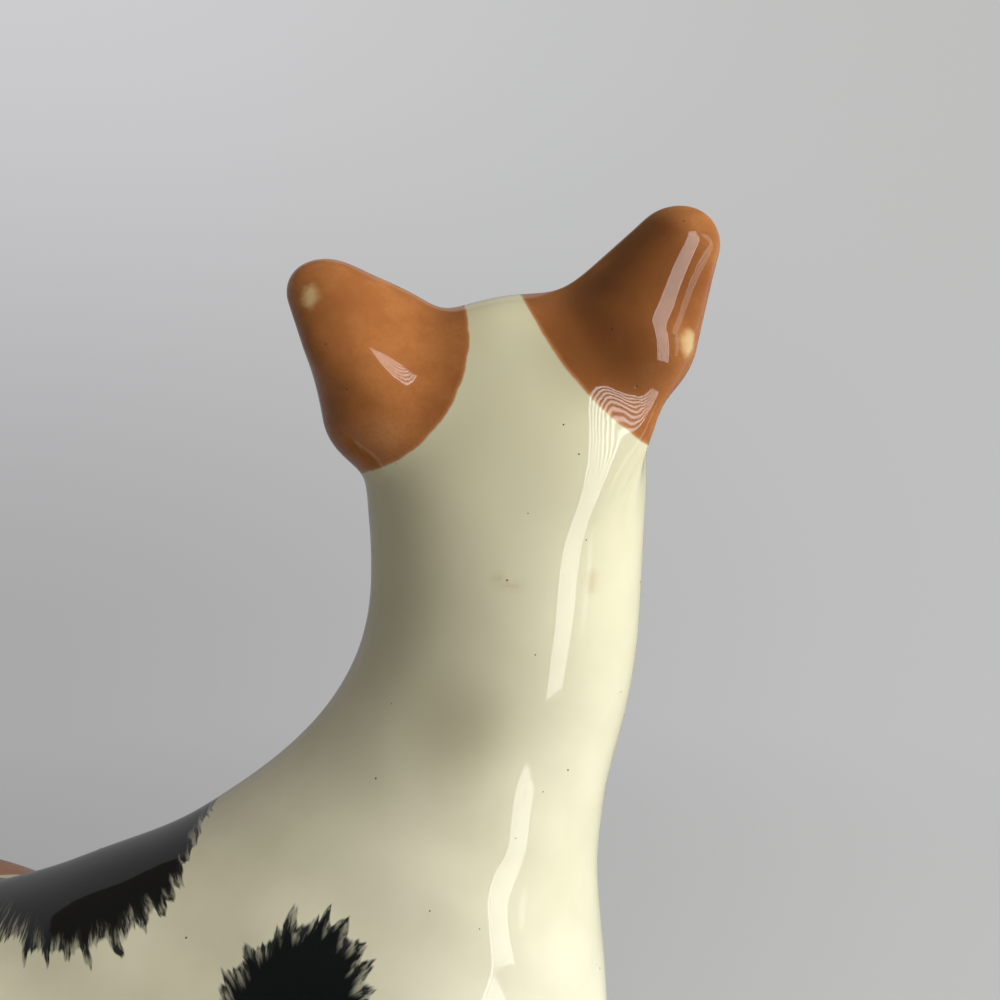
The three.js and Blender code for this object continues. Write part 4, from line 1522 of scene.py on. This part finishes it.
    def black_over(self, nodes: MaterialNodes, place: object, coat: object) -> object:
        """The colour with the black paint, which is brushed thin and dry at its edge."""
        finish = self.finish
        edge = nodes.attribute(Paint.BLACK)
        slanted = nodes.plus(nodes.attribute(Paint.BLACK_ALONG), nodes.times(edge, self.stroke_slant))
        slanted = nodes.plus(slanted, nodes.sway(place, *self.stroke_sway))
        tufts = self.strokes(nodes, slanted, self.tuft_width, self.tuft_length, self.tuft_shift)
        hairs = self.strokes(nodes, slanted, self.hair_width, self.hair_length, self.hair_shift)
        reach = nodes.plus(nodes.plus(tufts, hairs), nodes.sway(place, *self.black_sway))
        past = nodes.minus(edge, reach)
        rim = nodes.above(past, self.black_rim)
        across = nodes.times(edge, self.streak_stretch)
        brushed = nodes.add("ShaderNodeCombineXYZ", {"X": slanted, "Y": across}).outputs[0]
        dry = nodes.times(nodes.times(nodes.mottle(brushed, self.streaks), rim), self.dry_share)
        cover = nodes.times(nodes.below(past, self.black_fade), nodes.minus(1.0, dry))
        black = nodes.mix(nodes.times(rim, self.thin_share), finish.black, finish.black_thin)
        coat = nodes.mix(cover, coat, black)
        feature = nodes.below(nodes.attribute(Paint.FEATURE), self.feature_fade)
        return nodes.mix(feature, coat, finish.black)

    def pinholes(self, nodes: MaterialNodes, place: object) -> object:
        """Where the glaze has a pinhole."""
        inputs = {"Vector": place, "Scale": self.pit_scale, "Randomness": 1.0}
        pits = nodes.add("ShaderNodeTexVoronoi", inputs).outputs
        chance = nodes.add("ShaderNodeSeparateColor", {"Color": pits["Color"]}).outputs["Red"]
        chosen = nodes.math("GREATER_THAN", chance, self.pit_chance)
        return nodes.times(nodes.below(pits["Distance"], self.pit_fade), chosen)

    def build(self) -> bpy.types.Material:
        """The material.

        Returns:
            A new material that reads the glaze attributes.
        """
        finish = self.finish
        nodes = MaterialNodes("painted_glaze")
        place = nodes.place
        grain = nodes.noise(place, self.grain_scale, 2.0)
        # Painted shade spots.
        painted_shade = nodes.below(nodes.attribute(Paint.PAINTED_SHADE), self.painted_shade_fade)
        cream = self.cream(nodes, place, grain, painted_shade)
        coat = self.black_over(nodes, place, self.tan_over(nodes, place, grain, painted_shade, cream))
        pinhole = self.pinholes(nodes, place)
        coat = nodes.mix(nodes.times(pinhole, self.pit_share), coat, finish.pinhole)
        bare = nodes.below(nodes.attribute(Paint.BARE), self.bare_fade)
        biscuit = nodes.mix(nodes.above(grain, self.bare_clouds), finish.biscuit, finish.biscuit_deep)
        coat = nodes.mix(bare, coat, biscuit)
        clouds = self.pooled_clouds
        clouds = nodes.noise(place, clouds.scale, clouds.detail, clouds.rough)
        gloss = nodes.plus(finish.gloss_roughness, nodes.times(clouds, finish.gloss_change))
        rough = nodes.mix(bare, gloss, finish.bare_roughness, "FLOAT")
        ripples = nodes.noise(place, self.ripple_scale, 2.0)
        relief = nodes.minus(ripples, nodes.times(pinhole, self.pit_depth))
        relief = nodes.plus(relief, nodes.times(nodes.times(grain, bare), self.bare_relief))
        bumps = {"Height": relief, "Strength": self.bump_strength, "Distance": self.bump_height}
        bump = nodes.add("ShaderNodeBump", bumps).outputs[0]
        inputs = {"Base Color": coat, "Roughness": rough, "IOR": finish.ior, "Normal": bump}
        return nodes.covered(nodes.add("ShaderNodeBsdfPrincipled", inputs))


# The castings as Blender objects


@dataclass
class Castings:
    """The figure's pieces: meshes, seams, attributes and finish."""

    figure: Figure
    body_sculptor: Sculptor
    head_sculptor: Sculptor
    hollow_sculptor: Sculptor
    glaze: bpy.types.Material
    overlap: float = 3.0

    def build(self) -> list[bpy.types.Object]:
        """All castings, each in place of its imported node.

        Returns:
            The objects, with the body's first and the head's after those of the legs and the tail.
        """
        figure = self.figure
        low, high = figure.box
        seam = figure.neck.seam_height
        below = vector((high[0], high[1], seam + self.overlap))
        above = vector((low[0], low[1], seam - self.overlap))
        ears = [name for name in figure.luted if name.endswith("ear")]
        legs = [name for name in reversed(figure.luted) if name not in ears]
        body = self.parted(self.body_sculptor, low, below, legs)
        head = self.parted(self.head_sculptor, above, high, ears)
        pieces = [self.body(body, low, below)]
        for skin, names in ((body, legs), (head, (HEAD_NODE, *ears))):
            pieces += [self.piece(name, *closed(*skin.part(name))) for name in names]
        return pieces

    def parted(self, sculptor: Sculptor, low: np.ndarray, high: np.ndarray, names: Sequence[str]) -> Skin:
        """The surface inside a box, parted into castings.

        Args:
            sculptor: The grid.
            low: Lowest corner of the box.
            high: Highest corner of the box.
            names: Luted castings in the box.

        Returns:
            The surface with an owner for each triangle.
        """
        skin = sculptor.skin(self.figure.solid, low, high)
        for name in names:
            skin = scored(skin, sculptor.sampled(self.figure.seam(name), skin.places), name)
        skin = scored(skin, self.figure.neck.seam_height - skin.places[:, 2], HEAD_NODE)
        skin.owner[skin.owner == ""] = BODY_NODE
        LOG.info("surface: %d places, %d triangles", len(skin.places), len(skin.triangles))
        return skin

    def body(self, skin: Skin, low: np.ndarray, high: np.ndarray) -> bpy.types.Object:
        """The body's casting, with its hollow and the pour opening in its foot.

        Args:
            skin: The surface, cut at the seams.
            low: Lowest corner of the box that holds the body.
            high: Highest corner of the box.

        Returns:
            Its object.
        """
        whole = Skin.unowned(*closed(*skin.part(BODY_NODE)))
        opened = scored(whole, self.figure.foot.mouth_below(whole.places), "mouth")
        hollow = self.hollow_sculptor.skin(self.figure.hollow, low, high)
        hollow = scored(hollow, hollow.places[:, 2], "below")
        inner, lining = hollow.part("")
        outer, triangles = opened.part("")
        outward = self.normals(outer)
        inward = -self.hollow_sculptor.normals(self.figure.hollow, inner)
        places, triangles = lined(outer, triangles, inner, lining[:, ::-1])
        return self.piece(BODY_NODE, places, triangles, np.concatenate((outward, inward)))

    def normals(self, places: Places) -> np.ndarray:
        """Outward normals at places on the figure."""
        return self.head_sculptor.normals(self.figure.solid, places)

    def piece(
        self, name: str, places: Places, triangles: np.ndarray, normals: np.ndarray | None = None
    ) -> bpy.types.Object:
        """One casting.

        Args:
            name: The casting's node.
            places: Its places.
            triangles: Its triangles.
            normals: Its normals, where they aren't the figure's.

        Returns:
            Its object.
        """
        mesh = bpy.data.meshes.new(name + "_glazed")
        metres = (places + vector((ORIGIN_SETBACK, 0.0, 0.0))) * MM
        mesh.from_pydata(metres.tolist(), [], triangles.tolist())
        mesh.polygons.foreach_set("use_smooth", np.ones(len(triangles), bool))
        facing = self.normals(places) if normals is None else normals
        mesh.normals_split_custom_set_from_vertices(facing.tolist())
        for paint, values in self.figure.paints(places).items():
            layer = mesh.attributes.new(paint.value, "FLOAT", "POINT")
            layer.data.foreach_set("value", np.asarray(values, np.float32))
        mesh.materials.append(self.glaze)
        piece = bpy.data.objects.new(name + "_glazed", mesh)
        bpy.context.scene.collection.objects.link(piece)
        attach(piece, BODY)
        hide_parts(name)
        LOG.info("%s: %d triangles", piece.name, len(triangles))
        return piece


@dataclass(frozen=True)
class KilnSpecks:
    """Tiny dark specks that the kiln leaves in the glaze, strewn over the skin of the castings."""

    density: float = 5000.0
    smallest: float = 0.07 * MM
    largest: float = 0.17 * MM
    rise: float = 0.35
    seed: int = 11
    bare_margin: float = 0.5
    light: Colour = (0.13, 0.085, 0.050)
    dark: Colour = (0.035, 0.026, 0.020)
    clouds: Mottle = Mottle(800.0, 0.40, 0.62)
    roughness: float = 0.18

    def finish(self) -> bpy.types.Material:
        """A dark glassy brown that varies from speck to speck."""
        nodes = MaterialNodes("kiln_speck")
        brown = nodes.mix(nodes.mottle(nodes.place, self.clouds), self.light, self.dark)
        inputs = {"Base Color": brown, "Roughness": self.roughness}
        return nodes.covered(nodes.add("ShaderNodeBsdfPrincipled", inputs))

    @property
    def given(self) -> dict[str, float | int]:
        """What the strewing nodes are given, by the names of their inputs."""
        sizes = {"Smallest": self.smallest, "Largest": self.largest}
        return {"Density": self.density, **sizes, "Seed": self.seed}

    def tree(self) -> bpy.types.NodeTree:
        """The nodes that strew flat grains over a skin, except where it is bare clay.

        Returns:
            A new tree with named inputs.
        """
        tree = bpy.data.node_groups.new("strewn_specks", "GeometryNodeTree")
        tree.interface.new_socket("Skin", in_out="INPUT", socket_type="NodeSocketGeometry")
        for name, value in self.given.items():
            kind = "NodeSocketInt" if isinstance(value, int) else "NodeSocketFloat"
            tree.interface.new_socket(name, in_out="INPUT", socket_type=kind)
        tree.interface.new_socket("Specks", in_out="OUTPUT", socket_type="NodeSocketGeometry")
        nodes = Nodes(tree)
        add = nodes.add
        given = add("NodeGroupInput").outputs
        named = {"Name": Paint.BARE.value}
        bare = add("GeometryNodeInputNamedAttribute", named, data_type="FLOAT").outputs["Attribute"]
        compared = {0: bare, 1: self.bare_margin}
        glazed = add("FunctionNodeCompare", compared, operation="GREATER_THAN").outputs[0]
        strewn = {"Mesh": given["Skin"], "Selection": glazed}
        strewn |= {name: given[name] for name in ("Density", "Seed")}
        points = add("GeometryNodeDistributePointsOnFaces", strewn, distribute_method="RANDOM").outputs
        sizes = {2: given["Smallest"], 3: given["Largest"], "Seed": given["Seed"]}
        size = add("FunctionNodeRandomValue", sizes, data_type="FLOAT").outputs[1]
        flat = nodes.times(size, self.rise)
        scale = add("ShaderNodeCombineXYZ", {"X": size, "Y": size, "Z": flat}).outputs[0]
        grain = add("GeometryNodeMeshIcoSphere", {"Radius": 1.0, "Subdivisions": 1}).outputs["Mesh"]
        placed = {"Instance": grain, "Scale": scale}
        placed |= {name: points[name] for name in ("Points", "Rotation")}
        grains = add("GeometryNodeInstanceOnPoints", placed).outputs["Instances"]
        real = add("GeometryNodeRealizeInstances", {"Geometry": grains}).outputs["Geometry"]
        fired = {"Geometry": real, "Material": self.finish()}
        add("NodeGroupOutput", {"Specks": add("GeometryNodeSetMaterial", fired).outputs["Geometry"]})
        return tree

    def skin(self, pieces: Sequence[bpy.types.Object]) -> bpy.types.Mesh:
        """One mesh of all castings, with the attribute that tells bare clay."""
        places, triangles, bare = [], [], []
        count = 0
        for piece in pieces:
            mesh = piece.data
            corners = np.empty(len(mesh.vertices) * 3, np.float32)
            mesh.vertices.foreach_get("co", corners)
            faces = np.empty(len(mesh.polygons) * 3, np.int32)
            mesh.polygons.foreach_get("vertices", faces)
            values = np.empty(len(mesh.vertices), np.float32)
            mesh.attributes[Paint.BARE.value].data.foreach_get("value", values)
            places.append(corners.reshape(-1, 3))
            triangles.append(faces.reshape(-1, 3) + count)
            bare.append(values)
            count += len(mesh.vertices)
        joined = bpy.data.meshes.new("kiln_specks_skin")
        joined.from_pydata(np.concatenate(places).tolist(), [], np.concatenate(triangles).tolist())
        layer = joined.attributes.new(Paint.BARE.value, "FLOAT", "POINT")
        layer.data.foreach_set("value", np.concatenate(bare))
        return joined

    def build(self, pieces: Sequence[bpy.types.Object]) -> bpy.types.Object:
        """Strew the specks over the castings.

        Args:
            pieces: The castings.

        Returns:
            One object with all specks.
        """
        skin = self.skin(pieces)
        specks = bpy.data.objects.new("kiln_specks", skin)
        bpy.context.scene.collection.objects.link(specks)
        modifier = specks.modifiers.new("strewn", "NODES")
        modifier.node_group = self.tree()
        for socket in modifier.node_group.interface.items_tree:
            if socket.name in self.given:
                modifier[socket.identifier] = self.given[socket.name]
        seen = specks.evaluated_get(bpy.context.evaluated_depsgraph_get())
        grains = bpy.data.meshes.new_from_object(seen)
        specks.modifiers.clear()
        specks.data = grains
        bpy.data.meshes.remove(skin)
        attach(specks, BODY)
        LOG.info("%s: %d triangles", specks.name, len(grains.polygons))
        return specks


# Studio


@dataclass(frozen=True)
class Softbox:
    """A rectangular lamp that faces a point of the figure."""

    name: str
    azimuth: float
    elevation: float
    distance: float
    width: float
    height: float
    power: float
    tint: Colour = (1.0, 1.0, 1.0)
    slats: int = 1
    slat_share: float = 0.5
    glossy: bool = True

    def hang(self, aim: np.ndarray) -> None:
        """Hang the lamp as upright slats. Azimuth 0 is the camera's side, and 90 the chest's."""
        around, up = math.radians(self.azimuth), math.radians(self.elevation)
        way = vector((math.sin(around) * math.cos(up), -math.cos(around) * math.cos(up), math.sin(up)))
        across = vector((math.cos(around), math.sin(around), 0.0))
        lamp = bpy.data.lights.new(self.name, "AREA")
        lamp.shape = "RECTANGLE"
        pitch = self.width / self.slats
        lamp.size = pitch * self.slat_share if self.slats > 1 else self.width
        lamp.size_y = self.height
        lamp.energy = self.power / self.slats
        lamp.color = self.tint
        for index in range(self.slats):
            body = bpy.data.objects.new(f"{self.name}_{index}", lamp)
            offset = (index - (self.slats - 1) / 2.0) * pitch
            body.location = (aim + way * self.distance + across * offset).tolist()
            body.rotation_euler = Vector(way.tolist()).to_track_quat("Z", "Y").to_euler()
            body.visible_glossy = self.glossy
            bpy.context.scene.collection.objects.link(body)


@dataclass(frozen=True)
class Studio:
    """A pale floor that curves up all round, soft lamps and the camera."""

    camera: Point = (ORIGIN_SETBACK * MM, -0.182, 0.120)
    lens: float = 43.2
    sensor: float = 36.0
    nearest: float = 0.01
    aim: Point = (ORIGIN_SETBACK * MM, 0.0, 0.10)
    floor_radius: float = 1.1
    wall_radius: float = 1.7
    wall_height: float = 1.6
    ring_steps: int = 96
    curve_steps: int = 16
    ambient: float = 0.235
    ambient_tint: Colour = (1.0, 0.89, 0.68)
    sheen: float = 0.10
    # Painted light on the backdrop: lighter far off and high up, darker at the near left on the figure's
    # shadow side.
    far_left: Colour = (0.610, 0.606, 0.622)
    far_right: Colour = (0.520, 0.524, 0.516)
    near_left: Colour = (0.370, 0.368, 0.374)
    near_right: Colour = (0.515, 0.520, 0.515)
    aside: Pair = (-0.8, 0.8)
    fan: Pair = (-0.45, 0.45)
    fan_centre: float = 0.2
    rise: Pair = (-0.25, 0.95)
    room: Pair = (-0.7, 0.5)
    room_dark: float = 0.12
    room_gain: float = 0.44
    shadow: Pair = (0.12, 0.50)
    shadow_dark: float = 0.66
    softboxes: tuple[Softbox, ...] = (
        Softbox("window", 43.0, 19.0, 0.45, 0.13, 0.52, 0.84, slats=8),
        Softbox("side_window", 62.0, 19.0, 0.45, 0.04, 0.36, 0.07, slats=3),
        Softbox("sky", 82.0, 36.0, 0.80, 0.60, 0.60, 7.7, (0.955, 0.98, 1.0), glossy=False),
        Softbox("fill", -72.0, 18.0, 0.80, 0.50, 0.50, 0.20, (0.98, 0.99, 1.0), glossy=False),
    )

    def floor(self) -> bpy.types.Object:
        """The floor and its rising edge, as one turned surface."""
        bend = self.wall_radius - self.floor_radius
        profile = [(0.0, 0.0), (self.floor_radius, 0.0)]
        for step in range(1, self.curve_steps + 1):
            angle = math.pi / 2.0 * step / self.curve_steps
            profile.append((self.floor_radius + bend * math.sin(angle), bend * (1.0 - math.cos(angle))))
        profile.append((self.wall_radius, self.wall_height))
        places: list[Point] = []
        for radius, height in profile[1:]:
            for step in range(self.ring_steps):
                angle = 2.0 * math.pi * step / self.ring_steps
                places.append((radius * math.cos(angle), radius * math.sin(angle), height))
        count = self.ring_steps
        faces: list[tuple[int, ...]] = [tuple(range(count))]
        for row in range(len(profile) - 2):
            for step in range(count):
                lower, after = row * count, (step + 1) % count
                upper = lower + count
                faces.append((lower + step, lower + after, upper + after, upper + step))
        mesh = bpy.data.meshes.new("studio_floor")
        mesh.from_pydata(places, [], faces)
        mesh.polygons.foreach_set("use_smooth", [False] + [True] * (len(faces) - 1))
        mesh.materials.append(self.floor_finish())
        floor = bpy.data.objects.new("studio_floor", mesh)
        bpy.context.scene.collection.objects.link(floor)
        return floor

    def floor_finish(self) -> bpy.types.Material:
        """A pale grey with painted light that glows for camera and glossy rays: lighter with height and
        darker at the near left on the figure's shadow side; near the figure it stays partly matt and keeps
        the figure's shadow.
        """
        nodes = MaterialNodes("studio_grey")
        place = nodes.place
        x, y, z = nodes.add("ShaderNodeSeparateXYZ", {"Vector": place}).outputs
        # Painted light: the glowing grey is darker near the figure on its left and lighter with height.
        fan = nodes.math("DIVIDE", x, nodes.plus(nodes.math("ABSOLUTE", y), self.fan_centre))
        low = nodes.mix(nodes.above(fan, self.fan), self.near_left, self.near_right)
        high = nodes.mix(nodes.above(x, self.aside), self.far_left, self.far_right)
        painted_light_grey = nodes.mix(nodes.above(z, self.rise), low, high)
        rays = nodes.add("ShaderNodeLightPath").outputs
        # The backdrop also glows for other rays, brighter behind the figure, as painted room light in its
        # reflections.
        room = nodes.plus(self.room_dark, nodes.times(nodes.above(y, self.room), self.room_gain))
        strength = nodes.math("MAXIMUM", rays["Is Camera Ray"], room)
        seen = nodes.math("MAXIMUM", rays["Is Camera Ray"], rays["Is Glossy Ray"])
        seen = nodes.math("MAXIMUM", seen, rays["Is Transmission Ray"])
        away = nodes.add("ShaderNodeVectorMath", {0: place}, operation="LENGTH").outputs["Value"]
        light = nodes.times(nodes.above(away, self.shadow), 1.0 - self.shadow_dark)
        share = nodes.times(seen, nodes.plus(self.shadow_dark, light))
        matt = nodes.add("ShaderNodeBsdfDiffuse", {"Color": painted_light_grey})
        glow = nodes.add("ShaderNodeEmission", {"Color": painted_light_grey, "Strength": strength})
        inputs = {0: share, 1: matt.outputs[0], 2: glow.outputs[0]}
        return nodes.covered(nodes.add("ShaderNodeMixShader", inputs))

    def build(self) -> None:
        """Set up floor, lamps, world and camera."""
        scene = bpy.context.scene
        scene.view_settings.view_transform = "Standard"
        self.floor()
        for softbox in self.softboxes:
            softbox.hang(vector(self.aim))
        world = bpy.data.worlds.new("studio_world")
        world.use_nodes = True
        nodes = Nodes(world.node_tree)
        background = world.node_tree.nodes["Background"].inputs
        glossy = nodes.add("ShaderNodeLightPath").outputs["Is Glossy Ray"]
        levels = {"Value": glossy, "To Min": self.ambient, "To Max": self.sheen}
        nodes.feed(background["Color"], self.ambient_tint)
        nodes.feed(background["Strength"], nodes.add("ShaderNodeMapRange", levels).outputs["Result"])
        scene.world = world
        lens = bpy.data.cameras.new("photo_camera")
        lens.lens, lens.sensor_width = self.lens, self.sensor
        lens.clip_start = self.nearest
        camera = bpy.data.objects.new("photo_camera", lens)
        camera.location = self.camera
        camera.rotation_euler = (math.pi / 2.0, 0.0, 0.0)
        scene.collection.objects.link(camera)
        scene.camera = camera


def main() -> None:
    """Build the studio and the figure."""
    logging.basicConfig(level=logging.INFO, format="%(name)s: %(message)s", force=True)
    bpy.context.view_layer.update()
    Studio().build()
    grids = (Sculptor(pitch=0.75), Sculptor(pitch=0.48), Sculptor(pitch=2.0))
    castings = Castings(Figure(), *grids, PaintedGlaze().build()).build()
    KilnSpecks().build(castings)


if __name__ == "__main__":
    main()
